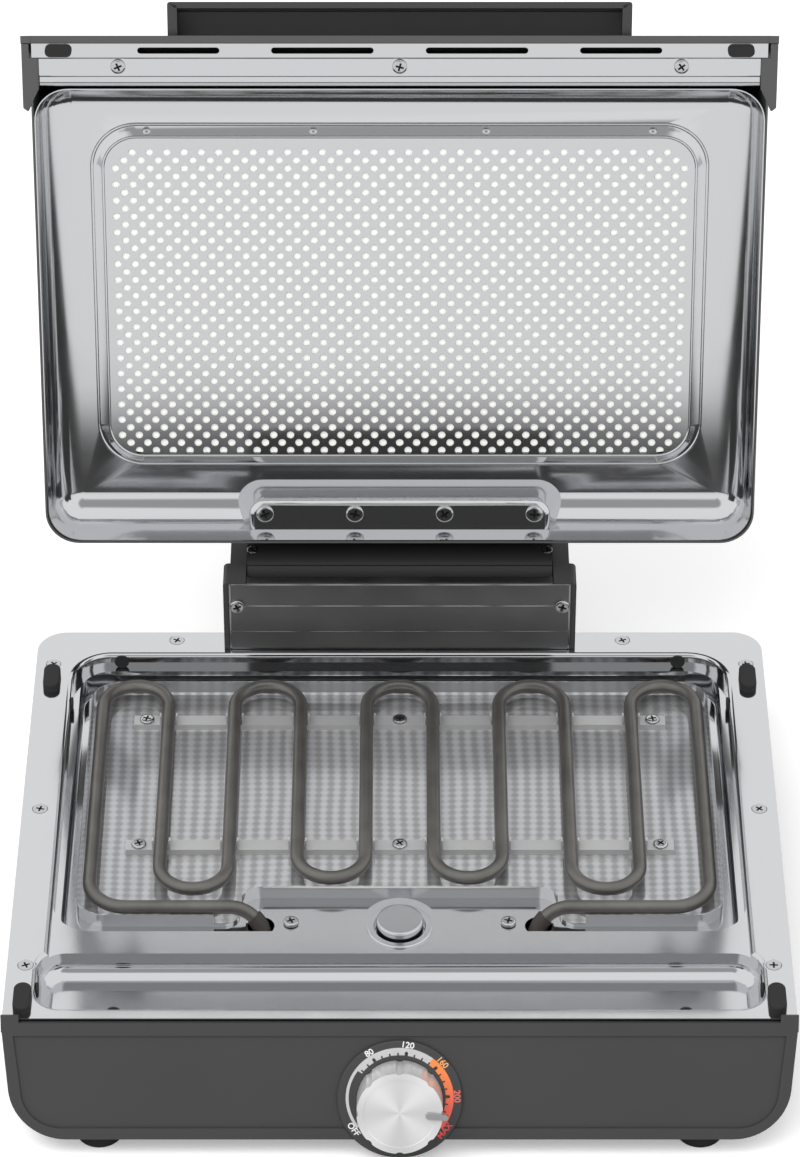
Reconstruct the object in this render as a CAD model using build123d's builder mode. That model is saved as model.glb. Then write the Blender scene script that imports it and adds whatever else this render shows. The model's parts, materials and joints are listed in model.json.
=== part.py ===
"""Electric indoor grill with a hinged lid, modelled with its lid standing open."""

import os
from math import acos, cos, degrees, radians, sin, sqrt, tan

from build123d import *

os.makedirs("parts", exist_ok=True)

# ---------------------------------------------------------------- driving sizes, in millimetres
# Seats and sheets
seat_gap = 0.3          # between pieces that rest on one another without touching
steel = 0.8             # deck pan, tower cover and front strip
thin_steel = 0.6        # reflector tray and lid liner

# Deck pan
deck_top = 72.0         # above the table
deck_width = 399.0
deck_depth = 314.0
deck_corner = 16.0
deck_rim = 5.0          # turned-down edge
well_side = 20.5        # from the deck's side edge
well_front = 69.0       # places are measured back from the deck's front edge
well_rear = 294.0
well_corner = 21.0
well_ledge_drop = 8.5
well_ledge = 4.0
well_front_ledge = 0.6
well_drop = 21.5
ridge_drop = 3.0        # the bridge between well and trough lies lower than the deck
ridge_step = 27.0       # length of the low bridge behind the well's front edge
saddle_radius = 19.5    # rounded saddle that carries the sensor
saddle_reach = 26.0     # how far it stands into the well
saddle_flare = 46.0     # half width where it runs into the bridge
trough_side = 15.5
trough_front = 8.0
trough_rear = 52.0
trough_corner = 14.0
trough_drop = 16.0
trough_round = 7.6
rim_round = 2.4
floor_round = 2.4

# Deck fittings
deck_screw_head = 4.0
deck_screw_shank = 1.6
deck_screw_length = 12.0
deck_screw_inset = 9.5
bumper_width = 9.0
bumper_length = 20.0
bumper_height = 4.6
bumper_round = 1.2
plug_radius = 3.9
plug_stand = 1.2
plug_drop = 4.4
side_screw_backs = (40.0, 163.0, 286.0)
rear_screw_side = 76.5
rear_screw_back = 307.0
bumper_backs = (12.6, 271.0)
rear_plug_side = 26.0    # from the well's side
side_plug_back = 256.0
trough_plug_back = 26.0
front_plug_side = 40.0
hole_clear = 0.2        # around every screw shank

# Sensor
sensor_back = 72.0
sensor_radius = 12.0
sensor_stand = 4.6
sensor_travel = 4.0
sensor_skirt = 13.0
ring_radius = 16.7
ring_height = 1.2
sleeve_radius = 14.6
sleeve_bore = 13.4
sleeve_depth = 24.0
spring_radius = 9.0
spring_wire = 1.2

# Heating element
tube_radius = 3.6
tube_drop = 12.0        # centre line below the deck
tube_side = 7.0         # outer runs' centres from the tray's side
run_count = 10
bend_back = 263.4       # centres of the rear bends
inner_bend = 139.0      # centres of the front bends
outer_bend = 130.4
front_run = 98.0
corner_bend = 20.0
leg_offset = 70.5
leg_bend = 18.0
leg_tilt = 60.0         # the legs dive steeply forwards through the floor
leg_tail = 9.0
sleeve_wall = 0.9

# Reflector tray
tray_side = 10.0        # from the well's side
tray_front = 93.4
tray_rear = 287.5
tray_wall = 8.0
tray_corner = 16.0
tray_step_width = 166.0
tray_step_back = 116.0
tray_step_round = 9.0
tray_heel_round = 12.0
tray_notch = 16.0
tray_notch_floor = 1.8

# Element brackets
bracket_side = 24.0     # from the tray's side
bracket_width = 8.0
bracket_backs = (149.7, 254.2)
prong_height = 6.0
prong_width = 3.0
bracket_screw_end = 7.0
small_head = 4.0
small_head_height = 1.6
small_shank = 1.5
small_length = 7.0
bracket_top = -17.3     # top of the flat, measured from the deck
prong_gap = 0.4

# Terminal plates
plate_offset = 64.0
plate_back = 91.0
plate_length = 32.0
plate_width = 22.0
plate_corner = 6.0
plate_thickness = 1.0
plate_screw_inset = 7.5
plate_screw_back = 94.8
plate_hole = 7.0
plate_hole_place = (72.0, 92.7)
pan_leg_hole = 8.6
leg_hole_back = 91.0

# Front panel and base tub
panel_side = 0.5        # beyond the deck's side
panel_slope = 64.0
panel_lean = 21.0       # degrees back from upright
panel_taper = 4.5       # degrees, each side
panel_corner = 29.0
panel_thickness = 4.0
panel_frame = 6.0
panel_recess = 1.2
panel_field_corner = 20.0
panel_band = 8.0
panel_tab = 9.0
panel_tab_height = 2.8
panel_tab_thickness = 1.4
panel_ahead = 2.0       # in front of the deck's edge
tub_wall = 2.5
tub_inset = 2.5
tub_rear = 311.0
tub_corner = 27.0
tub_rear_corner = 14.0
boss_radius = 3.4
boss_length = 18.0
boss_rib = 4.0
feet_radius = 12.0
foot_stud = 2.5
foot_round = 1.5
foot_gap = 0.3
feet_side = 47.0        # from the deck's side
feet_front = -7.0
feet_back = 284.0
floor_height = 12.2
vent_length = 60.0
vent_width = 4.0
vent_count = 6
vent_pitch = 12.0
vent_back = 150.0
gland_side = 49.5
gland_height = 30.0
gland_radius = 8.0
gland_neck = 6.0
gland_bore = 3.5
gland_flange = 2.5
block_offset = 60.0
block_back = 230.0
block_length = 40.0
block_width = 20.0
block_height = 16.0

# Dial and knob
dial_slope = 42.0       # down the panel from the deck
dial_radius = 31.65
dial_thickness = 2.2
dial_overhang = 1.5
dial_edge = 0.5
knob_radius = 21.65
knob_face_radius = 18.35
knob_height = 17.6
knob_gap = 0.5
knob_wall = 1.6
knob_bevel = 0.5
flute_count = 8
flute_turn = 0.0
flute_width = 3.0
flute_depth = 0.8
pointer_width = 3.2
pointer_inner = 13.0
pointer_outer = 24.3
pointer_height = 1.5
pointer_angle = -4.0    # degrees, anticlockwise from the right
core_radius = 8.0
shaft_radius = 3.0
shaft_flat = 1.2
shaft_reach = 12.0
shaft_bore_gap = 0.05
shaft_hole = 4.5
thermostat_width = 34.0
thermostat_height = 19.0
thermostat_depth = 14.0
thermostat_screw_pitch = 48.0
post_length = 3.1

# Hinge tower
tower_front = 299.0
tower_rear = 347.0
tower_width = 193.0
tower_height = 46.0     # above the deck
cap_width = 12.5
cap_top_depth = 17.6
cap_inset = 3.5
cap_edge = 2.6
cap_step = 2.0
cover_lip = 5.5
cover_height = 44.0
cover_side = 3.0        # from the tower's side
cap_corner = 8.0
press_gap = 0.02
pin_cap_depth = 7.0
tower_screw_side = 7.5
tower_screw_height = 30.0
tower_head = 4.2
hinge_back = 324.0
hinge_height = 35.0     # above the deck
pin_radius = 3.0
pin_length = 17.0
pin_gap = 0.05
hub_radius = 16.5
hub_skin = 18.5
hub_skin_reach = 144.0  # degrees that the thicker skin covers
neck_root_turn = 62.0   # where the neck's root ends on the hub, in degrees
hub_gap = 0.5
housing_height = 28.0   # rear housing's top above the deck
housing_wall = 2.5
housing_side = 3.5
housing_foot = 20.0     # its underside above the table
housing_clear = 1.0

# Lid, described as it lies when closed over the deck
lid_open = 102.0        # degrees from closed to the open stop
lid_lift = 5.0          # rim above the deck
lid_front = 8.0
lid_rear = 293.0
lid_side_inset = 8.0    # from the deck's side
lid_corner = 18.0
liner_depth = 25.0
liner_round = 16.0
liner_front = 33.0
field_side = 28.8       # from the lid's side
field_front = 61.4
field_rear = 257.0
field_corner = 24.0
field_rise = 3.3
field_slope = 6.4       # width of the sloping step round the field
pocket_side = 8.0       # from the tower's side
pocket_front = 266.5
pocket_slope = 6.0
pocket_flank = 7.5
pocket_corner = 8.0
pocket_round = 3.5
pocket_rear = 288.6
pocket_level = 8.0      # above the rim
pocket_screw_back = 279.0
pocket_screw_side = 15.45
pocket_head = 4.9
pocket_screw_length = 20.0
shell_height = 54.0
shell_wall = 1.0
shell_taper = 7.0
shell_round = 12.0
shell_slot_gap = 1.5
louvre_back = 160.0
louvre_count = 9
louvre_length = 44.0
louvre_width = 4.0
louvre_pitch = 12.0
strip_start = 0.3
strip_first = 7.6       # band with the vents
strip_band_side = 1.0   # from the lid's side
strip_second = 10.6     # band with the screws
strip_steps = (1.6, 2.4)
strip_side = 10.5
vent_slots = ((40.0, 53.0), (114.5, 42.5))
vent_slot_height = 3.4
lid_bumper_side = 14.9
lid_bumper_length = 13.8
lid_bumper_width = 6.1
lid_bumper_height = 1.8
strip_screw_side = 45.5
strip_head = 3.9
fascia_side = 4.5       # beyond the lid's side
fascia_thickness = 4.0
fascia_height = 36.0
fascia_tab = 5.0
fascia_tab_drop = 0.3
fascia_round = 1.5
end_cap_reach = 29.0
end_cap_slant = 7.0
end_cap_plate = 2.5
handle_width = 240.0
handle_reach = 19.0
handle_under = 3.0
handle_height = 26.0
handle_side = 10.5
handle_scoop = 18.0
handle_corner = 10.0
handle_wall = 6.0
handle_round = 5.0
arm_front = 268.0
post_radius = 4.4
neck_top = 19.0
neck_under = 12.8
arm_screw_offset = 80.8
arm_screw_angle = 203.0 # round the hub from its rear, lid closed
arm_screw_head = 3.0
arm_screw_sink = 1.6
filter_thickness = 6.0
filter_inset = 1.5      # from the edge of the flat field

# ---------------------------------------------------------------- widths that follow the deck's
panel_width = deck_width + 2 * panel_side
well_width = deck_width - 2 * well_side
trough_width = deck_width - 2 * trough_side
rear_screw_offset = deck_width / 2 - rear_screw_side
rear_plug_offset = well_width / 2 - rear_plug_side
front_plug_offset = trough_width / 2 - front_plug_side
feet_spread = deck_width - 2 * feet_side
gland_offset = deck_width / 2 - gland_side
tray_width = well_width - 2 * tray_side
run_pitch = (tray_width - 2 * tube_side) / (run_count - 1)
bracket_length = tray_width - 2 * bracket_side
bracket_screw_pitch = bracket_length / 2 - bracket_screw_end
cover_half = tower_width / 2 - cover_side
tower_screw_offset = tower_width / 2 - tower_screw_side
housing_half = tower_width / 2 - housing_side
lid_width = deck_width - 2 * lid_side_inset
fascia_width = lid_width + 2 * fascia_side
strip_band_width = lid_width - 2 * strip_band_side
strip_width = lid_width - 2 * strip_side
lid_bumper_offset = lid_width / 2 - lid_bumper_side
strip_screw_offset = lid_width / 2 - strip_screw_side
field_width = lid_width - 2 * field_side
pocket_width = tower_width - 2 * pocket_side
pocket_screw_pitch = (pocket_width - 2 * pocket_screw_side) / 3

# ---------------------------------------------------------------- planes and shared places
panel_angle = radians(panel_lean)
knob_front = knob_height + dial_thickness - panel_recess + knob_gap
front_reach = (
    panel_ahead
    + (dial_slope + knob_radius) * sin(panel_angle)
    + knob_front * cos(panel_angle)
)
open_angle = radians(lid_open)
lid_top = lid_lift + shell_height
lid_face = lid_front - fascia_thickness
# the open lid reaches furthest back at the rounded upper edge of its shell
shell_lean = radians(shell_taper)
crown_back = lid_front + (shell_height - shell_round) * tan(shell_lean) + shell_round / cos(shell_lean)
rear_reach = (
    hinge_back
    + (crown_back - hinge_back) * cos(open_angle)
    + (lid_top - shell_round - hinge_height) * sin(open_angle)
    + shell_round
)
# The origin lies on the table under the middle of the whole footprint, lid open.
deck_front = (front_reach - rear_reach) / 2


def deck_plane(height):
    """Level plane above or below the deck, starting at the deck's front edge."""
    return Plane(origin=(0, deck_front, deck_top + height))


def side_plane(x):
    """Upright plane across the grill, looking along X, local axes back and up."""
    return Plane(origin=(x, deck_front, deck_top), x_dir=(0, 1, 0), z_dir=(1, 0, 0))


panel_plane = Plane(
    origin=(0, deck_front - panel_ahead, deck_top),
    x_dir=(1, 0, 0),
    z_dir=(0, -cos(panel_angle), sin(panel_angle)),
)
dial_plane = Plane(
    origin=panel_plane.from_local_coords((0, -dial_slope, -panel_recess)),
    x_dir=(1, 0, 0),
    z_dir=panel_plane.z_dir,
)


def swing(point):
    """Where a point of the closed lid, given back and up, stands once the lid is open."""
    back = point[0] - hinge_back
    up = point[1] - hinge_height
    return (
        hinge_back + back * cos(open_angle) + up * sin(open_angle),
        hinge_height - back * sin(open_angle) + up * cos(open_angle),
    )


lid_origin = swing((0, 0))
lid_plane = Plane(
    origin=(0, deck_front + lid_origin[0], deck_top + lid_origin[1]),
    x_dir=(1, 0, 0),
    z_dir=(0, sin(open_angle), cos(open_angle)),
)


def lid_side(x):
    """Upright plane across the lid, local axes back and up as on the closed lid."""
    origin = lid_plane.from_local_coords((x, 0, 0))
    return Plane(origin=origin, x_dir=lid_plane.y_dir, z_dir=(1, 0, 0))


# ---------------------------------------------------------------- deck pan
def deck_outline(grow):
    """Deck seen from above: square front corners, round rear corners."""
    with BuildSketch() as outline:
        with Locations((0, deck_depth / 2)):
            Rectangle(deck_width + 2 * grow, deck_depth + 2 * grow)
        rear_corners = outline.vertices().group_by(Axis.Y)[-1]
        fillet(rear_corners, deck_corner + grow)
    return outline.sketch


saddle_rise = saddle_reach - saddle_radius
flare_radius = (saddle_flare**2 + saddle_rise**2 - saddle_radius**2) / (2 * saddle_reach)


def well_outline(grow, ledge, front_ledge):
    """Heating well seen from above, with the sensor saddle standing into its front."""
    width = well_width + 2 * grow - 2 * ledge
    depth = well_rear - well_front + 2 * grow - ledge - front_ledge
    turn = degrees(acos(saddle_flare / (saddle_radius + flare_radius)))
    flare_height = well_front + flare_radius
    saddle_height = well_front + saddle_rise
    base = well_front - 2 * grow - 1
    with BuildSketch() as outline:
        with Locations((0, (well_front + front_ledge + well_rear - ledge) / 2)):
            RectangleRounded(width, depth, well_corner + grow - ledge)
        with BuildLine():
            CenterArc((-saddle_flare, flare_height), flare_radius + grow, 270, 90 - turn)
            CenterArc((0, saddle_height), saddle_radius - grow, 180 - turn, 2 * turn - 180)
            CenterArc((saddle_flare, flare_height), flare_radius + grow, 180 + turn, 90 - turn)
            Polyline(
                (saddle_flare, well_front - grow),
                (saddle_flare, base),
                (-saddle_flare, base),
                (-saddle_flare, well_front - grow),
            )
        make_face(mode=Mode.SUBTRACT)
    return outline.sketch


def trough_outline(grow):
    """Front drip trough seen from above."""
    with BuildSketch() as outline:
        with Locations((0, (trough_front + trough_rear) / 2)):
            depth = trough_rear - trough_front + 2 * grow
            RectangleRounded(trough_width + 2 * grow, depth, trough_corner + grow)
    return outline.sketch


def bridge_outline(grow):
    """Low bridge between the trough and the well."""
    front = trough_rear - trough_corner
    rear = well_front + ridge_step
    with BuildSketch() as outline:
        with Locations((0, (front + rear) / 2)):
            Rectangle(well_width + 2 * grow, rear - front + 2 * grow)
    return outline.sketch


def rims(tool, height):
    """Edges at one height that lie inside the deck's own outline."""
    level = tool.edges().filter_by_position(Axis.Z, deck_top + height - 0.01, deck_top + height + 0.01)
    inside = deck_width / 2 - bumper_width
    level = level.filter_by_position(Axis.X, -inside, inside)
    return level.filter_by_position(Axis.Y, deck_front + 1, deck_front + deck_depth - 1)


def press_tool(grow):
    """All the space above the sheet's upper face, or above its lower face when grown."""
    with BuildPart() as tool:
        with BuildSketch(deck_plane(-grow)):
            add(deck_outline(0))
        extrude(amount=deck_rim)
        with BuildSketch(deck_plane(0)):
            add(bridge_outline(grow))
        extrude(amount=-ridge_drop - grow)
        with BuildSketch(deck_plane(0)):
            add(trough_outline(grow))
        extrude(amount=-trough_drop - grow)
        trough_floor = tool.edges().group_by(Axis.Z)[0]
        fillet(trough_floor, trough_round + grow)
        with BuildSketch(deck_plane(0)):
            add(well_outline(grow, 0, 0))
        extrude(amount=-well_ledge_drop - grow)
        with BuildSketch(deck_plane(0)):
            add(well_outline(grow, well_ledge, well_front_ledge))
        extrude(amount=-well_drop - grow)
        well_floor = tool.edges().group_by(Axis.Z)[0]
        fillet(well_floor, floor_round + grow)
        fillet(rims(tool, -grow), rim_round - grow)
    return tool.part


def screws(head_radius, head_height, shank_radius, shank_length):
    """Pan-headed screw at each current location, its head standing on the face."""
    Cylinder(head_radius, head_height, align=(Align.CENTER, Align.CENTER, Align.MIN))
    Cylinder(shank_radius, shank_length, align=(Align.CENTER, Align.CENTER, Align.MAX))


deck_screws_at = [
    (side * (deck_width / 2 - deck_screw_inset), back)
    for side in (-1, 1)
    for back in side_screw_backs
]
deck_screws_at += [(side * rear_screw_offset, rear_screw_back) for side in (-1, 1)]
cone_drop = deck_screw_head - deck_screw_shank
leg_dive = radians(leg_tilt)
leg_start = leg_offset + leg_bend
bracket_screws_at = [
    (offset, back + bracket_width / 2)
    for offset in (-bracket_screw_pitch, 0, bracket_screw_pitch)
    for back in bracket_backs
]
plate_screws_at = [
    (side * (plate_offset - plate_screw_inset), plate_screw_back) for side in (-1, 1)
]

with BuildPart() as deck_pan:
    add(press_tool(steel))
    add(press_tool(0), mode=Mode.SUBTRACT)
    # edge turned down at the sides and the rear
    with BuildSketch(deck_plane(0)):
        add(deck_outline(0))
        add(deck_outline(-steel), mode=Mode.SUBTRACT)
        Rectangle(deck_width, 2 * panel_thickness, mode=Mode.SUBTRACT)
    extrude(amount=-deck_rim)
    # dimples for the countersunk screws
    with Locations(deck_plane(0)):
        with Locations(*deck_screws_at):
            Cone(deck_screw_shank + steel, deck_screw_head + steel, cone_drop + steel,
                 align=(Align.CENTER, Align.CENTER, Align.MAX))
            Cone(deck_screw_shank + hole_clear, deck_screw_head + hole_clear, cone_drop,
                 align=(Align.CENTER, Align.CENTER, Align.MAX), mode=Mode.SUBTRACT)
            Cylinder(deck_screw_shank + hole_clear, 4 * cone_drop, mode=Mode.SUBTRACT)
        with Locations((0, sensor_back)):
            Cylinder(sleeve_radius + seat_gap, 4 * ridge_drop, mode=Mode.SUBTRACT)
        with Locations((-leg_offset, leg_hole_back, -well_drop), (leg_offset, leg_hole_back, -well_drop)):
            Cylinder(pan_leg_hole, 4 * steel, mode=Mode.SUBTRACT)
        with Locations(Plane(origin=(0, 0, -well_drop))):
            with Locations(*bracket_screws_at, *plate_screws_at):
                Cylinder(small_shank + hole_clear, 4 * steel, mode=Mode.SUBTRACT)
deck_pan.part.label = "deck_pan"
export_step(deck_pan.part, "parts/deck_pan.step")

with BuildPart() as deck_screws:
    with Locations(deck_plane(0)):
        with Locations(*deck_screws_at):
            Cone(deck_screw_shank, deck_screw_head, cone_drop,
                 align=(Align.CENTER, Align.CENTER, Align.MAX))
            Cylinder(deck_screw_shank, deck_screw_length,
                     align=(Align.CENTER, Align.CENTER, Align.MAX))
deck_screws.part.label = "deck_screws"
export_step(deck_screws.part, "parts/deck_screws.step")

# ---------------------------------------------------------------- rubber bumpers and plugs
bumpers_at = [
    (side * (deck_width / 2 - deck_screw_inset), back)
    for side in (-1, 1)
    for back in bumper_backs
]

with BuildPart() as deck_bumpers:
    with BuildSketch(deck_plane(0)):
        with Locations(*bumpers_at):
            SlotOverall(bumper_length, bumper_width, rotation=90)
    extrude(amount=bumper_height)
    fillet(deck_bumpers.edges().group_by(Axis.Z)[-1], bumper_round)
deck_bumpers.part.label = "deck_bumpers"
export_step(deck_bumpers.part, "parts/deck_bumpers.step")


def plug_seat(x, back, out):
    """Plane on a pan wall where a rubber plug sits, facing the given way."""
    return Plane(origin=(x, deck_front + back, deck_top - plug_drop), z_dir=out)


plug_seats = []
for side in (-1, 1):
    inward = (-side, 0, 0)
    plug_seats += [
        plug_seat(side * rear_plug_offset, well_rear, (0, -1, 0)),
        plug_seat(side * well_width / 2, side_plug_back, inward),
        plug_seat(side * trough_width / 2, trough_plug_back, inward),
        plug_seat(side * front_plug_offset, trough_front, (0, 1, 0)),
    ]

with BuildPart() as wall_plugs:
    with Locations(*plug_seats):
        Cylinder(plug_radius, plug_stand, align=(Align.CENTER, Align.CENTER, Align.MIN))
wall_plugs.part.label = "wall_plugs"
export_step(wall_plugs.part, "parts/wall_plugs.step")

# ---------------------------------------------------------------- spring-loaded sensor
ring_level = -ridge_drop

with BuildPart() as sensor_ring:
    with BuildSketch(deck_plane(ring_level)):
        with Locations((0, sensor_back)):
            Circle(ring_radius)
    extrude(amount=ring_height)
    with BuildSketch(deck_plane(ring_level)):
        with Locations((0, sensor_back)):
            Circle(sleeve_radius)
    extrude(amount=-sleeve_depth)
    fillet(sensor_ring.edges().group_by(Axis.Z)[-1], ring_height / 2)
    with BuildSketch(deck_plane(ring_level + ring_height)):
        with Locations((0, sensor_back)):
            Circle(sleeve_bore)
    extrude(amount=-sleeve_depth, mode=Mode.SUBTRACT)
    with Locations(deck_plane(ring_level - sleeve_depth)):
        with Locations((0, sensor_back)):
            Cylinder(shaft_radius, 4 * ring_height, mode=Mode.SUBTRACT)
sensor_ring.part.label = "sensor_ring"
export_step(sensor_ring.part, "parts/sensor_ring.step")

button_top = ring_level + ring_height + sensor_stand
button_roof = 1.6
button_wall = 1.4
collar_height = 2.0
collar_gap = 0.2

with BuildPart() as sensor_button:
    with BuildSketch(deck_plane(button_top)):
        with Locations((0, sensor_back)):
            Circle(sensor_radius)
    extrude(amount=-sensor_skirt)
    fillet(sensor_button.edges().group_by(Axis.Z)[-1], button_wall)
    with BuildSketch(deck_plane(button_top - sensor_skirt)):
        with Locations((0, sensor_back)):
            Circle(sleeve_bore - collar_gap)
    extrude(amount=collar_height)
    with BuildSketch(deck_plane(button_top - button_roof)):
        with Locations((0, sensor_back)):
            Circle(sensor_radius - button_wall)
    extrude(amount=-sensor_skirt, mode=Mode.SUBTRACT)
sensor_button.part.label = "sensor_button"
export_step(sensor_button.part, "parts/sensor_button.step")

spring_seat = ring_level + ring_height - sleeve_depth
spring_length = button_top - button_roof - spring_seat

with BuildPart() as sensor_spring:
    with BuildSketch(deck_plane(spring_seat)):
        with Locations((0, sensor_back)):
            Circle(spring_radius + spring_wire / 2)
            Circle(spring_radius - spring_wire / 2, mode=Mode.SUBTRACT)
    extrude(amount=spring_length)
sensor_spring.part.label = "sensor_spring"
export_step(sensor_spring.part, "parts/sensor_spring.step")

# ---------------------------------------------------------------- reflector tray
tray_floor = -well_drop


def tray_outline(grow):
    """Tray seen from above, its front stepped back to leave room for the terminals."""
    half = tray_width / 2 + grow
    step = tray_step_width / 2 - grow
    front = tray_front - grow
    with BuildSketch() as outline:
        with BuildLine():
            Polyline(
                (-half, tray_rear + grow),
                (-half, front),
                (-step, front),
                (-step, tray_step_back - grow),
                (step, tray_step_back - grow),
                (step, front),
                (half, front),
                (half, tray_rear + grow),
                close=True,
            )
        make_face()
        heel = outline.vertices().filter_by_position(Axis.X, -step - 1, step + 1)
        fillet(heel.group_by(Axis.Y)[-1], tray_heel_round - grow)
        toe = outline.vertices().filter_by_position(Axis.X, -step - 1, step + 1)
        fillet(toe.group_by(Axis.Y)[0], tray_step_round + grow)
        ends = outline.vertices().group_by(Axis.X)
        fillet(ends[0] + ends[-1], tray_corner + grow)
    return outline.sketch


with BuildPart() as reflector_tray:
    with BuildSketch(deck_plane(tray_floor)):
        add(tray_outline(0))
    extrude(amount=tray_wall)
    with BuildSketch(deck_plane(tray_floor + thin_steel)):
        add(tray_outline(-thin_steel))
    extrude(amount=tray_wall, mode=Mode.SUBTRACT)
    # the wall dips where the element's legs cross it
    with Locations(deck_plane(tray_floor + tray_notch_floor)):
        for side in (-1, 1):
            with Locations((side * (leg_offset + leg_bend), tray_front)):
                Box(tray_notch, 2 * tray_notch, tray_wall,
                    align=(Align.CENTER, Align.CENTER, Align.MIN), mode=Mode.SUBTRACT)
    with Locations(deck_plane(tray_floor)):
        with Locations(*bracket_screws_at):
            Cylinder(small_shank + hole_clear, 4 * thin_steel, mode=Mode.SUBTRACT)
reflector_tray.part.label = "reflector_tray"
export_step(reflector_tray.part, "parts/reflector_tray.step")

# ---------------------------------------------------------------- heating element
outer_run = run_pitch * (run_count - 1) / 2
runs = [run_pitch * number - outer_run for number in range(run_count)]
bend = run_pitch / 2


def front_centre(run):
    """Centre of the front bend that a run turns into."""
    return inner_bend if abs(run) < 2 * run_pitch else outer_bend


def serpentine():
    """Centre line of the tube between its two legs, in its own level plane."""
    corner = front_run + corner_bend
    with BuildLine() as line:
        Line((-leg_start, front_run), (corner_bend - outer_run, front_run))
        CenterArc((corner_bend - outer_run, corner), corner_bend, 270, -90)
        Line((-outer_run, corner), (-outer_run, bend_back))
        for left, right in zip(runs[0::2], runs[1::2]):
            CenterArc(((left + right) / 2, bend_back), bend, 180, -180)
        for left, right in zip(runs[1:-1:2], runs[2::2]):
            front = front_centre(left)
            Line((left, bend_back), (left, front))
            CenterArc(((left + right) / 2, front), bend, 180, 180)
            Line((right, front), (right, bend_back))
        Line((outer_run, bend_back), (outer_run, corner))
        CenterArc((outer_run - corner_bend, corner), corner_bend, 0, -90)
        Line((outer_run - corner_bend, front_run), (leg_start, front_run))
    return line.line


def leg_plane(side):
    """Tilted plane in which one leg turns inwards and dives through the floor."""
    origin = (side * leg_start, deck_front + front_run, deck_top - tube_drop)
    dive = Vector(0, -cos(leg_dive), -sin(leg_dive))
    inward = Vector(-side, 0, 0)
    return Plane(origin=origin, x_dir=inward, z_dir=inward.cross(dive))


with BuildPart() as heating_element:
    tube_line = deck_plane(-tube_drop) * serpentine()
    with BuildSketch(Plane(origin=tube_line @ 0, z_dir=tube_line % 0)):
        Circle(tube_radius)
    sweep(path=tube_line)
    for side in (-1, 1):
        with BuildLine(leg_plane(side)) as leg_line:
            bow = CenterArc((0, leg_bend), leg_bend, 270, 90)
            Line(bow @ 1, (leg_bend, leg_bend + leg_tail))
        with BuildSketch(Plane(origin=leg_plane(side).origin, z_dir=(1, 0, 0))):
            Circle(tube_radius)
        sweep(path=leg_line.line)
heating_element.part.label = "heating_element"
export_step(heating_element.part, "parts/heating_element.step")

with BuildPart() as leg_sleeves:
    for side in (-1, 1):
        with BuildLine(leg_plane(side)) as sleeve_line:
            bow = CenterArc((0, leg_bend), leg_bend, 315, 45)
            Line(bow @ 1, (leg_bend, leg_bend + leg_tail / 2))
        with BuildSketch(Plane(origin=sleeve_line.line @ 0, z_dir=sleeve_line.line % 0)):
            Circle(tube_radius + pin_gap + sleeve_wall)
            Circle(tube_radius + pin_gap, mode=Mode.SUBTRACT)
        sweep(path=sleeve_line.line)
leg_sleeves.part.label = "leg_sleeves"
export_step(leg_sleeves.part, "parts/leg_sleeves.step")

# ---------------------------------------------------------------- element brackets
prong_offset = tube_radius + prong_gap + steel / 2
bracket_drop = bracket_top - (tray_floor + thin_steel)

with BuildPart() as element_brackets:
    with BuildSketch(deck_plane(bracket_top)):
        for back in bracket_backs:
            with Locations((0, back + bracket_width / 2)):
                Rectangle(bracket_length, bracket_width)
        with Locations(*bracket_screws_at):
            Circle(small_shank + hole_clear, mode=Mode.SUBTRACT)
    extrude(amount=-steel)
    with BuildSketch(deck_plane(bracket_top)):
        for back in bracket_backs:
            with Locations((0, back + steel / 2)):
                Rectangle(bracket_length, steel)
    extrude(amount=-bracket_drop)
    with BuildSketch(deck_plane(bracket_top - steel)):
        for run in runs[1:-1]:
            for back in bracket_backs:
                for offset in (-prong_offset, prong_offset):
                    with Locations((run + offset, back + prong_width / 2)):
                        Rectangle(steel, prong_width)
    extrude(amount=steel + prong_height)
element_brackets.part.label = "element_brackets"
export_step(element_brackets.part, "parts/element_brackets.step")

with BuildPart() as bracket_screws:
    with Locations(deck_plane(bracket_top)):
        with Locations(*bracket_screws_at):
            screws(small_head, small_head_height, small_shank, small_length)
    fillet(bracket_screws.edges().group_by(Axis.Z)[-1], small_head_height / 2)
bracket_screws.part.label = "bracket_screws"
export_step(bracket_screws.part, "parts/bracket_screws.step")

# ---------------------------------------------------------------- terminal plates
with BuildPart() as terminal_plates:
    with BuildSketch(deck_plane(tray_floor)):
        with Locations((-plate_offset, plate_back), (plate_offset, plate_back)):
            RectangleRounded(plate_length, plate_width, plate_corner)
        for side in (-1, 1):
            with Locations((side * plate_hole_place[0], plate_hole_place[1])):
                Circle(plate_hole, mode=Mode.SUBTRACT)
        with Locations(*plate_screws_at):
            Circle(small_shank + hole_clear, mode=Mode.SUBTRACT)
    extrude(amount=plate_thickness)
terminal_plates.part.label = "terminal_plates"
export_step(terminal_plates.part, "parts/terminal_plates.step")

with BuildPart() as terminal_screws:
    with Locations(deck_plane(tray_floor + plate_thickness)):
        with Locations(*plate_screws_at):
            screws(small_head, small_head_height, small_shank, small_length)
    fillet(terminal_screws.edges().group_by(Axis.Z)[-1], small_head_height / 2)
terminal_screws.part.label = "terminal_screws"
export_step(terminal_screws.part, "parts/terminal_screws.step")

# ---------------------------------------------------------------- base tub
tub_top = deck_top - steel - seat_gap
tub_cut = panel_plane.offset(-panel_thickness - seat_gap)
boss_top = -cone_drop - steel - seat_gap


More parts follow.
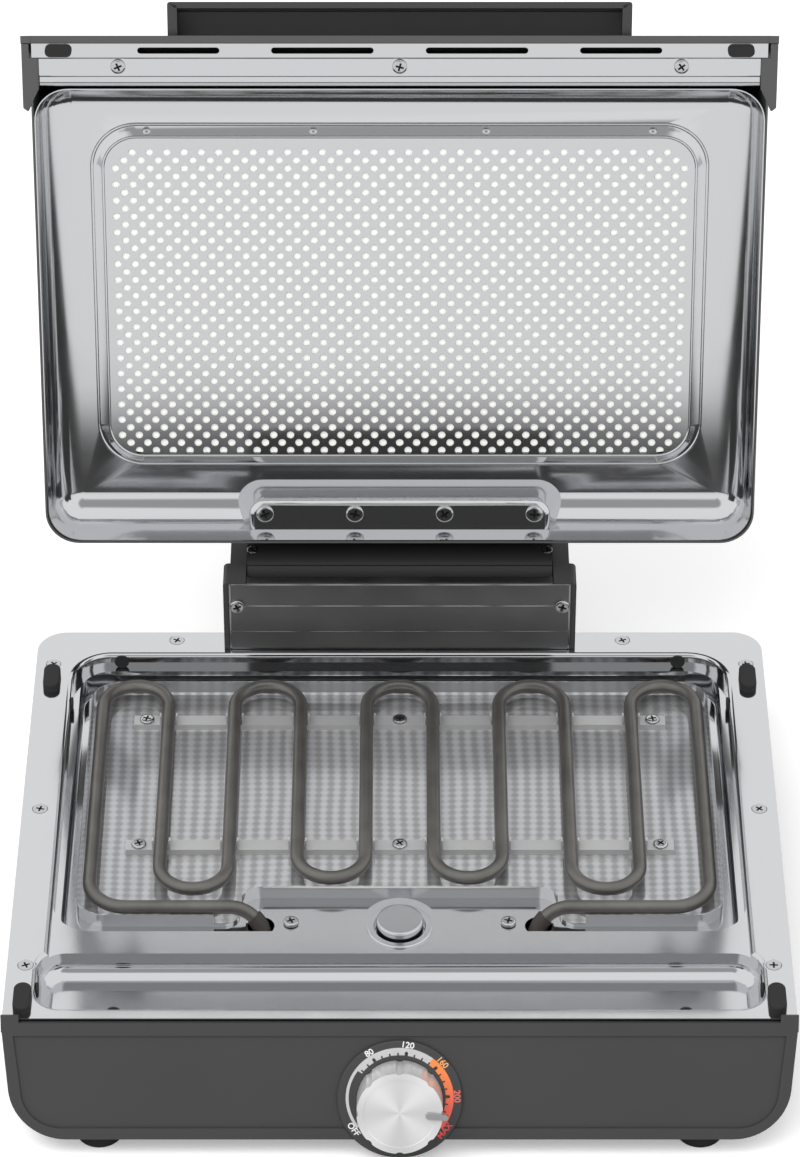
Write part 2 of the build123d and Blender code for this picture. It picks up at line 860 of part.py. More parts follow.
def tub_body(inset):
    """Solid with the base tub's outer shape, moved in by a wall's thickness."""
    half = panel_width / 2 - tub_inset - inset
    bottom = floor_height + inset
    low = half - (tub_top - bottom) * tan(radians(panel_taper))
    with BuildPart() as body:
        with BuildSketch(Plane.XZ.offset(inset - deck_front - tub_rear)) as section:
            with BuildLine():
                Polyline((-half, tub_top), (-low, bottom), (low, bottom), (half, tub_top), close=True)
            make_face()
            fillet(section.vertices().group_by(Axis.Y)[0], tub_corner - inset)
        extrude(amount=tub_rear + panel_slope)
        back_edges = body.faces().sort_by(Axis.Y)[-1].edges()
        fillet(back_edges.sort_by(Axis.Z)[:-1], tub_rear_corner - inset)
        split(bisect_by=tub_cut, keep=Keep.BOTTOM)
    return body.part


with BuildPart() as base_tub:
    add(tub_body(0))
    add(tub_body(tub_wall), mode=Mode.SUBTRACT)
    # bosses for the deck screws, each tied to the nearest wall by a rib
    with Locations(deck_plane(boss_top)):
        for x, back in deck_screws_at:
            with Locations((x, back)):
                Cylinder(boss_radius, boss_length, align=(Align.CENTER, Align.CENTER, Align.MAX))
        for side in (-1, 1):
            for back in side_screw_backs:
                with Locations((side * (deck_width / 2 - deck_screw_inset), back)):
                    Box(boss_rib, tub_wall, boss_length,
                        align=(Align.MIN if side > 0 else Align.MAX, Align.CENTER, Align.MAX))
        with Locations(*deck_screws_at):
            Cylinder(deck_screw_shank + pin_gap, deck_screw_length,
                     align=(Align.CENTER, Align.CENTER, Align.MAX), mode=Mode.SUBTRACT)
            # room in the wall's edge for the deck's dimples
            Cylinder(deck_screw_head + steel + seat_gap, -boss_top,
                     align=(Align.CENTER, Align.CENTER, Align.MIN), mode=Mode.SUBTRACT)
    # air slots in the floor
    with BuildSketch(Plane.XY.offset(floor_height)):
        with Locations((0, deck_front + vent_back)):
            with GridLocations(0, vent_pitch, 1, vent_count):
                SlotOverall(vent_length, vent_width)
    extrude(amount=tub_wall, mode=Mode.SUBTRACT)
    # hole for the cord gland in the rear wall
    with Locations(Plane(origin=(gland_offset, deck_front + tub_rear, gland_height), z_dir=(0, 1, 0))):
        Cylinder(gland_neck + seat_gap, 4 * tub_wall, mode=Mode.SUBTRACT)
    # holes for the feet's studs
    with Locations(Plane.XY.offset(floor_height)):
        for back in (feet_front, feet_back):
            with Locations((0, deck_front + back)):
                with GridLocations(feet_spread, 0, 2, 1):
                    Cylinder(foot_stud + pin_gap, 4 * tub_wall, mode=Mode.SUBTRACT)
base_tub.part.label = "base_tub"
export_step(base_tub.part, "parts/base_tub.step")

with BuildPart() as feet:
    for back in (feet_front, feet_back):
        with Locations((0, deck_front + back)):
            with GridLocations(feet_spread, 0, 2, 1):
                Cylinder(feet_radius, floor_height - foot_gap,
                         align=(Align.CENTER, Align.CENTER, Align.MIN))
                Cylinder(foot_stud, floor_height + tub_wall,
                         align=(Align.CENTER, Align.CENTER, Align.MIN))
    fillet(feet.edges().group_by(Axis.Z)[0], foot_round)
feet.part.label = "feet"
export_step(feet.part, "parts/feet.step")

with BuildPart() as cord_gland:
    with Locations(Plane(origin=(gland_offset, deck_front + tub_rear, gland_height), z_dir=(0, 1, 0))):
        Cylinder(gland_radius, gland_flange, align=(Align.CENTER, Align.CENTER, Align.MIN))
        Cylinder(gland_neck, 2 * tub_wall, align=(Align.CENTER, Align.CENTER, Align.MAX))
        Cylinder(gland_bore, 6 * tub_wall, mode=Mode.SUBTRACT)
cord_gland.part.label = "cord_gland"
export_step(cord_gland.part, "parts/cord_gland.step")

# ---------------------------------------------------------------- front panel
tub_front_top = -(steel + seat_gap) / cos(panel_angle)


def panel_outline(inset, top, corner):
    """Front panel seen square on, drawn in by an inset."""
    half = panel_width / 2 - inset
    low = half - panel_slope * tan(radians(panel_taper))
    with BuildSketch() as outline:
        with BuildLine():
            Polyline((-half, top), (-low, inset - panel_slope), (low, inset - panel_slope), (half, top),
                     close=True)
        make_face()
        fillet(outline.vertices().group_by(Axis.Y)[0], corner)
    return outline.sketch


with BuildPart() as front_panel:
    with BuildSketch(panel_plane):
        add(panel_outline(0, tub_front_top, panel_corner))
    extrude(amount=-panel_thickness)
    with BuildSketch(panel_plane):
        with Locations((0, -dial_slope)):
            Circle(dial_radius - dial_overhang)
    extrude(amount=-panel_thickness)
    # corner tabs that stand up in front of the deck's edge
    with BuildSketch(panel_plane):
        with Locations((0, panel_tab_height / cos(panel_angle))):
            Rectangle(panel_width, panel_tab, align=(Align.CENTER, Align.MAX))
            Rectangle(panel_width - 2 * panel_tab, panel_tab, align=(Align.CENTER, Align.MAX),
                      mode=Mode.SUBTRACT)
    extrude(amount=-panel_tab_thickness)
    # sunk field and the round seat of the dial
    with BuildSketch(panel_plane):
        add(panel_outline(panel_frame, -panel_band, panel_field_corner))
        with Locations((0, -dial_slope)):
            Circle(dial_radius + seat_gap)
    extrude(amount=-panel_recess, mode=Mode.SUBTRACT)
    # posts for the thermostat's plate
    with BuildSketch(panel_plane.offset(-panel_thickness)):
        with Locations((0, -dial_slope)):
            with GridLocations(thermostat_screw_pitch, 0, 2, 1):
                Circle(boss_radius)
    extrude(amount=-post_length)
    with Locations(panel_plane.offset(-panel_thickness - post_length)):
        with Locations((0, -dial_slope)):
            with GridLocations(thermostat_screw_pitch, 0, 2, 1):
                Cylinder(small_shank + pin_gap, 2 * (post_length + plate_thickness) + seat_gap,
                         mode=Mode.SUBTRACT)
            Cylinder(shaft_hole, 4 * panel_thickness, mode=Mode.SUBTRACT)
front_panel.part.label = "front_panel"
export_step(front_panel.part, "parts/front_panel.step")

# ---------------------------------------------------------------- dial and knob
with BuildPart() as dial_disc:
    with BuildSketch(dial_plane):
        Circle(dial_radius)
        Circle(shaft_hole, mode=Mode.SUBTRACT)
    extrude(amount=dial_thickness)
    chamfer(dial_disc.faces().sort_by(Axis(dial_plane.origin, dial_plane.z_dir))[-1]
            .edges().sort_by(SortBy.LENGTH)[-1], dial_edge)
dial_disc.part.label = "dial_disc"
export_step(dial_disc.part, "parts/dial_disc.step")

knob_plane = dial_plane.offset(dial_thickness + knob_gap)
knob_face = knob_plane.offset(knob_height)

with BuildPart() as knob:
    with BuildSketch(knob_plane):
        Circle(knob_radius)
        with PolarLocations(knob_radius + flute_width - flute_depth, flute_count, start_angle=flute_turn):
            Circle(flute_width, mode=Mode.SUBTRACT)
    extrude(amount=knob_height)
    # sunk bevel round the face
    with BuildSketch(knob_face):
        Circle(knob_face_radius)
    extrude(amount=-knob_bevel, mode=Mode.SUBTRACT)
    with BuildSketch(knob_plane):
        Circle(knob_radius - knob_wall)
    extrude(amount=knob_height - knob_bevel - knob_wall, mode=Mode.SUBTRACT)
knob.part.label = "knob"
export_step(knob.part, "parts/knob.step")

with BuildPart() as knob_pointer:
    with BuildSketch(knob_face):
        with PolarLocations((pointer_inner + pointer_outer) / 2, 1, start_angle=pointer_angle):
            SlotOverall(pointer_outer - pointer_inner, pointer_width)
    extrude(amount=pointer_height)
    with BuildSketch(knob_face.offset(-knob_bevel)):
        Circle(knob_face_radius)
        with PolarLocations((pointer_inner + pointer_outer) / 2, 1, start_angle=pointer_angle):
            SlotOverall(pointer_outer - pointer_inner, pointer_width, mode=Mode.INTERSECT)
    extrude(amount=knob_bevel)
knob_pointer.part.label = "knob_pointer"
export_step(knob_pointer.part, "parts/knob_pointer.step")


def shaft_section(grow):
    """Round section with one flat side."""
    radius = shaft_radius + grow
    with BuildSketch() as section:
        Circle(radius)
        with Locations((0, radius + shaft_radius - shaft_flat + grow)):
            Rectangle(2 * radius, 2 * radius, mode=Mode.SUBTRACT)
    return section.sketch


with BuildPart() as knob_core:
    with BuildSketch(knob_plane):
        Circle(core_radius)
    extrude(amount=knob_height - knob_bevel - knob_wall)
    with BuildSketch(knob_plane):
        add(shaft_section(shaft_bore_gap))
    extrude(amount=shaft_reach, mode=Mode.SUBTRACT)
knob_core.part.label = "knob_core"
export_step(knob_core.part, "parts/knob_core.step")

# ---------------------------------------------------------------- thermostat
plate_plane = panel_plane.offset(-panel_thickness - post_length)
body_plane = plate_plane.offset(-plate_thickness)

with BuildPart() as thermostat_plate:
    with BuildSketch(plate_plane):
        with Locations((0, -dial_slope)):
            RectangleRounded(thermostat_screw_pitch + 4 * boss_radius, thermostat_height, plate_corner)
            with GridLocations(thermostat_screw_pitch, 0, 2, 1):
                Circle(small_shank + hole_clear, mode=Mode.SUBTRACT)
            Circle(shaft_radius + shaft_bore_gap, mode=Mode.SUBTRACT)
    extrude(amount=-plate_thickness)
thermostat_plate.part.label = "thermostat_plate"
export_step(thermostat_plate.part, "parts/thermostat_plate.step")

with BuildPart() as thermostat_body:
    with BuildSketch(body_plane):
        with Locations((0, -dial_slope)):
            Rectangle(thermostat_width, thermostat_height)
            Circle(shaft_radius + shaft_bore_gap, mode=Mode.SUBTRACT)
    extrude(amount=-thermostat_depth)
thermostat_body.part.label = "thermostat_body"
export_step(thermostat_body.part, "parts/thermostat_body.step")

with BuildPart() as thermostat_screws:
    with Locations(body_plane):
        with Locations((0, -dial_slope)):
            with GridLocations(thermostat_screw_pitch, 0, 2, 1):
                Cylinder(small_shank, post_length + 2 * plate_thickness,
                         align=(Align.CENTER, Align.CENTER, Align.MIN))
                Cylinder(small_head - hole_clear, small_head_height,
                         align=(Align.CENTER, Align.CENTER, Align.MAX))
thermostat_screws.part.label = "thermostat_screws"
export_step(thermostat_screws.part, "parts/thermostat_screws.step")

with BuildPart() as thermostat_shaft:
    with BuildSketch(body_plane.offset(-thermostat_depth)):
        with Locations((0, -dial_slope)):
            Circle(shaft_radius)
    extrude(amount=thermostat_depth + plate_thickness + post_length)
    with BuildSketch(panel_plane.offset(-panel_thickness)):
        with Locations((0, -dial_slope)):
            add(shaft_section(0))
    extrude(amount=panel_thickness - panel_recess + dial_thickness + knob_gap + shaft_reach - seat_gap)
thermostat_shaft.part.label = "thermostat_shaft"
export_step(thermostat_shaft.part, "parts/thermostat_shaft.step")

with BuildPart() as terminal_block:
    with Locations((block_offset, deck_front + block_back, floor_height + tub_wall)):
        Box(block_length, block_width, block_height, align=(Align.CENTER, Align.CENTER, Align.MIN))
        with Locations((0, 0, block_height)):
            with GridLocations(block_length / 3, 0, 3, 1):
                Cylinder(small_head, block_height / 2, mode=Mode.SUBTRACT)
terminal_block.part.label = "terminal_block"
export_step(terminal_block.part, "parts/terminal_block.step")

# ---------------------------------------------------------------- hinge tower
axis_place = (hinge_back, hinge_height)
cap_inner = tower_width / 2 - cap_width
hub_half = cap_inner - hub_gap
trough_clear = hub_skin + housing_clear

with BuildPart() as rear_housing:
    with BuildSketch(side_plane(-housing_half)):
        with BuildLine():
            Polyline(
                (tub_rear + seat_gap, housing_foot - deck_top),
                (tower_rear, housing_foot - deck_top),
                (tower_rear, 0),
                (deck_depth + seat_gap, 0),
                (deck_depth + seat_gap, -deck_rim - seat_gap),
                (tub_rear + seat_gap, -deck_rim - seat_gap),
                close=True,
            )
        make_face()
    extrude(amount=2 * housing_half)
    with BuildSketch(side_plane(-hub_half)):
        with Locations(((deck_depth + seat_gap + tower_rear) / 2, housing_height / 2)):
            Rectangle(tower_rear - deck_depth - seat_gap, housing_height)
    extrude(amount=2 * hub_half)
    fillet(rear_housing.edges().filter_by(Axis.X).group_by(Axis.Y)[-1].sort_by(Axis.Z)[-1], cap_edge)
    with BuildSketch(side_plane(-hub_half)):
        with Locations(axis_place):
            Circle(trough_clear)
    extrude(amount=2 * hub_half, mode=Mode.SUBTRACT)
    # hollow behind the tub, open towards it
    with BuildSketch(side_plane(housing_wall - housing_half)):
        with Locations((tub_rear, housing_foot + housing_wall - deck_top)):
            Rectangle(tower_rear - housing_wall - tub_rear, deck_top - housing_foot - 2 * housing_wall,
                      align=Align.MIN)
    extrude(amount=2 * housing_half - 2 * housing_wall, mode=Mode.SUBTRACT)
    with BuildSketch(side_plane(housing_wall - hub_half)):
        with Locations((deck_depth + seat_gap + housing_wall, -housing_wall)):
            Rectangle(tower_rear - deck_depth - seat_gap - 2 * housing_wall,
                      hinge_height - trough_clear, align=Align.MIN)
    extrude(amount=2 * hub_half - 2 * housing_wall, mode=Mode.SUBTRACT)
rear_housing.part.label = "rear_housing"
export_step(rear_housing.part, "parts/rear_housing.step")


def tower_cap(side):
    """Side cap of the tower: a tall front block and a lower, narrower tail."""
    front_half = tower_width / 2
    tail_half = front_half - cap_inset
    with BuildPart() as cap:
        with BuildSketch(side_plane(cap_inner)):
            with Locations((tower_front, seat_gap)):
                Rectangle(cap_top_depth, tower_height - seat_gap, align=Align.MIN)
        extrude(amount=cap_width)
        with BuildSketch(side_plane(cap_inner)):
            with Locations((tower_front + cap_top_depth, seat_gap)):
                Rectangle(tower_rear - tower_front - cap_top_depth,
                          tower_height - cap_step - seat_gap, align=Align.MIN)
        extrude(amount=tail_half - cap_inner)
        outer = cap.edges().filter_by_position(Axis.X, tail_half - 0.1, front_half + 0.1)
        fillet(outer.group_by(Axis.Z)[-1], cap_edge)
        tail_top = deck_top + tower_height - cap_step
        tail = cap.edges().filter_by(Axis.X).group_by(Axis.Y)[-1]
        fillet(tail.sort_by(Axis.Z)[-1], cap_corner)
        # recess for the steel cover
        with BuildSketch(side_plane(cap_inner)):
            with Locations((tower_front, 0)):
                Rectangle(steel + seat_gap, cover_height + seat_gap, align=Align.MIN)
        extrude(amount=cover_half + seat_gap - cap_inner, mode=Mode.SUBTRACT)
        with Locations(side_plane(cap_inner)):
            with Locations(axis_place):
                Cylinder(pin_radius + press_gap, pin_cap_depth + seat_gap,
                         align=(Align.CENTER, Align.CENTER, Align.MIN), mode=Mode.SUBTRACT)
        with Locations(Plane(origin=(tower_screw_offset, deck_front + tower_front,
                                     deck_top + tower_screw_height), x_dir=(1, 0, 0), z_dir=(0, -1, 0))):
            Cylinder(deck_screw_shank + press_gap, 2 * deck_screw_length, mode=Mode.SUBTRACT)
    return cap.part if side > 0 else cap.part.mirror(Plane.YZ)


with BuildPart() as tower_cap_left:
    add(tower_cap(-1))
tower_cap_left.part.label = "tower_cap_left"
export_step(tower_cap_left.part, "parts/tower_cap_left.step")

with BuildPart() as tower_cap_right:
    add(tower_cap(1))
tower_cap_right.part.label = "tower_cap_right"
export_step(tower_cap_right.part, "parts/tower_cap_right.step")

with BuildPart() as tower_cover:
    with BuildSketch(side_plane(-cover_half)):
        with Locations((tower_front, seat_gap)):
            Rectangle(steel, cover_height - seat_gap, align=Align.MIN)
    extrude(amount=2 * cover_half)
    with BuildSketch(side_plane(-hub_half)):
        with Locations((tower_front, cover_height - steel)):
            Rectangle(steel, tower_height - cover_height + steel, align=Align.MIN)
        with Locations((tower_front, tower_height - steel)):
            Rectangle(cover_lip, steel, align=Align.MIN)
    extrude(amount=2 * hub_half)
    with Locations(Plane(origin=(0, deck_front + tower_front, deck_top + tower_screw_height),
                         x_dir=(1, 0, 0), z_dir=(0, -1, 0))):
        with GridLocations(2 * tower_screw_offset, 0, 2, 1):
            Cylinder(deck_screw_shank + hole_clear, 4 * steel, mode=Mode.SUBTRACT)
tower_cover.part.label = "tower_cover"
export_step(tower_cover.part, "parts/tower_cover.step")

with BuildPart() as tower_screws:
    with Locations(Plane(origin=(0, deck_front + tower_front, deck_top + tower_screw_height),
                         x_dir=(1, 0, 0), z_dir=(0, -1, 0))):
        with GridLocations(2 * tower_screw_offset, 0, 2, 1):
            Cylinder(tower_head, small_head_height, align=(Align.CENTER, Align.CENTER, Align.MIN))
            Cylinder(deck_screw_shank, deck_screw_length,
                     align=(Align.CENTER, Align.CENTER, Align.MAX))
    fillet(tower_screws.edges().group_by(Axis.Y)[0], small_head_height / 2)
tower_screws.part.label = "tower_screws"
export_step(tower_screws.part, "parts/tower_screws.step")

with BuildPart() as hinge_pins:
    with BuildSketch(side_plane(cap_inner + pin_cap_depth)):
        with Locations(axis_place):
            Circle(pin_radius)
    extrude(amount=-pin_length)
    with BuildSketch(side_plane(-cap_inner - pin_cap_depth)):
        with Locations(axis_place):
            Circle(pin_radius)
    extrude(amount=pin_length)
hinge_pins.part.label = "hinge_pins"
export_step(hinge_pins.part, "parts/hinge_pins.step")

# ---------------------------------------------------------------- hinge arm
pocket_floor = lid_lift + pocket_level
post_foot = pocket_floor + thin_steel + seat_gap
posts_at = [(pocket_screw_pitch * (number - 1.5), pocket_screw_back) for number in range(4)]
arm_screw_turn = radians(arm_screw_angle)
arm_screw_out = lid_plane.y_dir * cos(arm_screw_turn) + lid_plane.z_dir * sin(arm_screw_turn)
arm_screw_seats = [
    Plane(origin=lid_side(side * arm_screw_offset).from_local_coords(axis_place)
          + arm_screw_out * (hub_skin - arm_screw_sink), x_dir=(1, 0, 0), z_dir=arm_screw_out)
    for side in (-1, 1)
]

with BuildPart() as hinge_arm:
    with BuildSketch(lid_side(-hub_half)):
        with Locations(axis_place):
            Circle(hub_radius)
        with Locations((arm_front, hinge_height + neck_under)):
            Rectangle(hinge_back - arm_front, neck_top - neck_under, align=Align.MIN)
        # the neck's root, and the thicker skin from it round to the front
        with BuildLine():
            root = CenterArc(axis_place, neck_top, neck_root_turn, 90 - neck_root_turn)
            Polyline(root @ 1, axis_place, root @ 0)
        make_face()
        with BuildLine():
            skin = CenterArc(axis_place, hub_skin, 90, hub_skin_reach)
            Polyline(skin @ 1, axis_place, skin @ 0)
        make_face()
    extrude(amount=2 * hub_half)
    with Locations(lid_plane.offset(post_foot)):
        with Locations(*posts_at):
            Cylinder(post_radius, hinge_height + neck_under - post_foot,
                     align=(Align.CENTER, Align.CENTER, Align.MIN))
            Cylinder(deck_screw_shank + press_gap, pocket_screw_length,
                     align=(Align.CENTER, Align.CENTER, Align.MIN), mode=Mode.SUBTRACT)
    with Locations(*arm_screw_seats):
        Cylinder(arm_screw_head + seat_gap, 2 * arm_screw_sink,
                 align=(Align.CENTER, Align.CENTER, Align.MIN), mode=Mode.SUBTRACT)
        Cylinder(small_shank + pin_gap, small_length, align=(Align.CENTER, Align.CENTER, Align.MAX),
                 mode=Mode.SUBTRACT)
    with BuildSketch(lid_side(-cap_inner)):
        with Locations(axis_place):
            Circle(pin_radius + pin_gap)
    extrude(amount=pin_length, mode=Mode.SUBTRACT)
    with BuildSketch(lid_side(cap_inner)):
        with Locations(axis_place):
            Circle(pin_radius + pin_gap)
    extrude(amount=-pin_length, mode=Mode.SUBTRACT)
hinge_arm.part.label = "hinge_arm"
export_step(hinge_arm.part, "parts/hinge_arm.step")

with BuildPart() as arm_screws:
    with Locations(*arm_screw_seats):
        screws(arm_screw_head, arm_screw_sink - seat_gap, small_shank, small_length)
arm_screws.part.label = "arm_screws"
export_step(arm_screws.part, "parts/arm_screws.step")

# ---------------------------------------------------------------- lid liner
liner_half = lid_width / 2 - shell_wall - seat_gap
liner_rear = lid_rear - shell_wall - seat_gap
liner_top = lid_lift + liner_depth
field_level = liner_top - field_rise


def tray_space(half, front, rear, corner, height, edge_round):
    """Tapered block with rounded corners, standing on the lid's rim."""
    with BuildPart() as block:
        with BuildSketch(lid_plane.offset(lid_lift)):
            with Locations((0, (front + rear) / 2)):
                RectangleRounded(2 * half, rear - front, corner)
        extrude(amount=height, taper=shell_taper)
        top = block.faces().sort_by(Axis(lid_plane.origin, lid_plane.z_dir))[-1]
        fillet(top.edges(), edge_round)
    return block.part


def field_block(grow):
    """Raised field in the liner's middle, with a sloping step all round."""
    middle = (field_front + field_rear) / 2
    depth = field_rear - field_front
    with BuildPart() as block:
        with BuildSketch(lid_plane.offset(field_level + grow)):
            with Locations((0, middle)):
                RectangleRounded(field_width - 2 * (field_slope + grow), depth - 2 * (field_slope + grow),
                                 field_corner - field_slope - grow)
        with BuildSketch(lid_plane.offset(liner_top + grow)):
            with Locations((0, middle)):
                RectangleRounded(field_width - 2 * grow, depth - 2 * grow, field_corner - grow)
        loft()
        top = block.faces().sort_by(Axis(lid_plane.origin, lid_plane.z_dir))[-1]
        extrude(top, amount=field_rise)
    return block.part


def pocket_block(grow):
    """Block that stands down for the hinge's screws, with sloping flanks and round corners."""
    height = liner_top - pocket_floor
    back = lid_rear + height
    with BuildPart() as block:
        for level, spread in ((0, 0), (1, 1)):
            with BuildSketch(lid_plane.offset(pocket_floor + grow + level * height)):
                front = pocket_front + pocket_slope * (1 - spread) + grow
                half = pocket_width / 2 - pocket_flank * (1 - spread) - grow
                with Locations((0, front)):
                    outline = Rectangle(2 * half, back - front, align=(Align.CENTER, Align.MIN))
                fillet(outline.vertices().group_by(Axis.Y)[0], pocket_corner + pocket_slope * spread - grow)
        loft()
        floor_rim = block.faces().sort_by(Axis(lid_plane.origin, lid_plane.z_dir))[0].edges()
        far = floor_rim.sort_by(Axis(lid_plane.origin, lid_plane.y_dir))[-1]
        fillet([edge for edge in floor_rim if edge != far], pocket_round - grow)
        # the liner's own rear wall stays below the floor, leaning out to the rim
        with BuildSketch(lid_side(-pocket_width)):
            with BuildLine():
                Polyline(
                    (pocket_rear + grow, pocket_floor + grow),
                    (liner_rear - thin_steel + grow, lid_lift),
                    (back, lid_lift),
                    (back, pocket_floor + grow),
                    close=True,
                )
            make_face()
        extrude(amount=2 * pocket_width)
    return block.part


def liner_space(grow):
    """Space inside the lid's liner, grown by the sheet's thickness."""
    wall = thin_steel - grow
    with BuildPart() as space:
        add(tray_space(liner_half - wall, liner_front + wall, liner_rear - wall, lid_corner - wall,
                       liner_depth + grow, liner_round + grow))
        add(field_block(grow), mode=Mode.SUBTRACT)
        add(pocket_block(grow), mode=Mode.SUBTRACT)
    return space.part


with BuildPart() as lid_liner:
    add(liner_space(thin_steel))
    add(liner_space(0), mode=Mode.SUBTRACT)
    with Locations(lid_plane.offset(pocket_floor)):
        with Locations(*posts_at):
            Cylinder(deck_screw_shank + hole_clear, 4 * steel, mode=Mode.SUBTRACT)
lid_liner.part.label = "lid_liner"
export_step(lid_liner.part, "parts/lid_liner.step")

with BuildPart() as pocket_screws:
    with Locations(Plane(origin=lid_plane.offset(pocket_floor).origin, x_dir=lid_plane.x_dir,
                         z_dir=-lid_plane.z_dir)):
        for x, back in posts_at:
            with Locations((x, -back)):
                screws(pocket_head, small_head_height, deck_screw_shank,
                       pocket_screw_length - hole_clear)
pocket_screws.part.label = "pocket_screws"
export_step(pocket_screws.part, "parts/pocket_screws.step")

with BuildPart() as filter_pad:
    with BuildSketch(lid_plane.offset(field_level + thin_steel + seat_gap)):
        with Locations((0, (field_front + field_rear) / 2)):
            around = field_slope + filter_inset
            RectangleRounded(field_width - 2 * around, field_rear - field_front - 2 * around,
                             field_corner - around)
    extrude(amount=filter_thickness)
filter_pad.part.label = "filter_pad"
export_step(filter_pad.part, "parts/filter_pad.step")

# ---------------------------------------------------------------- lid shell
strip_levels = (lid_lift, lid_lift + strip_steps[0], lid_lift + strip_steps[0] + strip_steps[1])
shell_cut = lid_lift + end_cap_plate + seat_gap
slot_low = hinge_height + neck_under - shell_slot_gap
slot_high = hinge_height + neck_top + shell_slot_gap

with BuildPart() as lid_shell:
    add(tray_space(lid_width / 2, lid_front, lid_rear, lid_corner, shell_height, shell_round))
    add(tray_space(lid_width / 2 - shell_wall, lid_front + shell_wall, lid_rear - shell_wall,
                   lid_corner - shell_wall, shell_height - shell_wall, shell_round - shell_wall),
        mode=Mode.SUBTRACT)
    # lower edge raised over the front strip
    with BuildSketch(lid_plane.offset(lid_lift - shell_wall)):
        with Locations((0, lid_face)):
            Rectangle(lid_width + shell_wall, liner_front - lid_face, align=(Align.CENTER, Align.MIN))
    extrude(amount=shell_cut - lid_lift + shell_wall, mode=Mode.SUBTRACT)
    # slot for the hinge arm
    with BuildSketch(lid_side(-hub_half - shell_slot_gap)):
        with Locations((lid_rear - 2 * shell_round, slot_low)):
            Rectangle(3 * shell_round, slot_high - slot_low, align=Align.MIN)
    extrude(amount=2 * (hub_half + shell_slot_gap), mode=Mode.SUBTRACT)
    # louvres that let the steam out above the filter
    with BuildSketch(lid_plane.offset(lid_top - 2 * shell_wall)):
        with Locations((0, louvre_back)):
            with GridLocations(louvre_pitch, 0, louvre_count, 1):
                SlotOverall(louvre_length, louvre_width, rotation=90)
    extrude(amount=3 * shell_wall, mode=Mode.SUBTRACT)
lid_shell.part.label = "lid_shell"
export_step(lid_shell.part, "parts/lid_shell.step")

# ---------------------------------------------------------------- front strip
strip_front = lid_front + strip_start
first_end = strip_front + strip_first
second_end = first_end + strip_second
strip_end = liner_front - seat_gap
strip_screws_at = [(offset, (first_end + second_end) / 2)
                   for offset in (-strip_screw_offset, 0, strip_screw_offset)]

with BuildPart() as lid_front_strip:
    with BuildSketch(lid_plane.offset(strip_levels[0])):
        with Locations((0, strip_front)):
            Rectangle(strip_band_width, strip_first, align=(Align.CENTER, Align.MIN))
        for offset, length in vent_slots:
            with Locations((-offset, strip_front + strip_first / 2), (offset, strip_front + strip_first / 2)):
                SlotOverall(length, vent_slot_height, mode=Mode.SUBTRACT)
    extrude(amount=steel)
    with BuildSketch(lid_plane.offset(strip_levels[1])):
        with Locations((0, first_end)):
            Rectangle(strip_width, strip_second, align=(Align.CENTER, Align.MIN))
        with Locations(*strip_screws_at):
            Circle(small_shank + hole_clear, mode=Mode.SUBTRACT)
    extrude(amount=steel)
    with BuildSketch(lid_plane.offset(strip_levels[2])):
        with Locations((0, second_end)):
            Rectangle(strip_width, strip_end - second_end, align=(Align.CENTER, Align.MIN))
    extrude(amount=steel)
    # risers between the bands
    with BuildSketch(lid_plane.offset(strip_levels[0])):
        with Locations((0, first_end)):
            Rectangle(strip_width, steel, align=(Align.CENTER, Align.MAX))
    extrude(amount=strip_steps[0] + steel)
    with BuildSketch(lid_plane.offset(strip_levels[1])):
        with Locations((0, second_end)):
            Rectangle(strip_width, steel, align=(Align.CENTER, Align.MAX))
    extrude(amount=strip_steps[1] + steel)
lid_front_strip.part.label = "lid_front_strip"
export_step(lid_front_strip.part, "parts/lid_front_strip.step")

down_plane = Plane(origin=lid_plane.offset(strip_levels[1]).origin, x_dir=lid_plane.x_dir,
                   z_dir=-lid_plane.z_dir)

with BuildPart() as strip_screws:
    with Locations(down_plane):
        for x, back in strip_screws_at:
            with Locations((x, -back)):
                screws(strip_head, small_head_height, small_shank, small_length)
strip_screws.part.label = "strip_screws"
export_step(strip_screws.part, "parts/strip_screws.step")

with BuildPart() as lid_bumpers:
    with BuildSketch(lid_plane.offset(lid_lift)):
        for side in (-1, 1):
            with Locations((side * lid_bumper_offset, strip_front + strip_first / 2)):
                RectangleRounded(lid_bumper_length, lid_bumper_width, lid_bumper_width / 2 - seat_gap)
    extrude(amount=-lid_bumper_height)
lid_bumpers.part.label = "lid_bumpers"
export_step(lid_bumpers.part, "parts/lid_bumpers.step")

# ---------------------------------------------------------------- fascia, end caps and handle
fascia_half = fascia_width / 2

with BuildPart() as lid_fascia:
    with BuildSketch(lid_side(-fascia_half)):
        with Locations((lid_face, lid_lift)):
            Rectangle(fascia_thickness, fascia_height, align=Align.MIN)
    extrude(amount=fascia_width)
    with BuildSketch(lid_plane.offset(lid_lift)):
        for side in (-1, 1):
            with Locations((side * (fascia_half - fascia_tab / 2), lid_face + fascia_thickness / 2)):
                Rectangle(fascia_tab, fascia_thickness)
    extrude(amount=-fascia_tab_drop)
    corners = lid_fascia.edges().sort_by(Axis(lid_plane.origin, lid_plane.z_dir))[-4:]
    fillet(corners, fascia_round)
lid_fascia.part.label = "lid_fascia"
export_step(lid_fascia.part, "parts/lid_fascia.step")


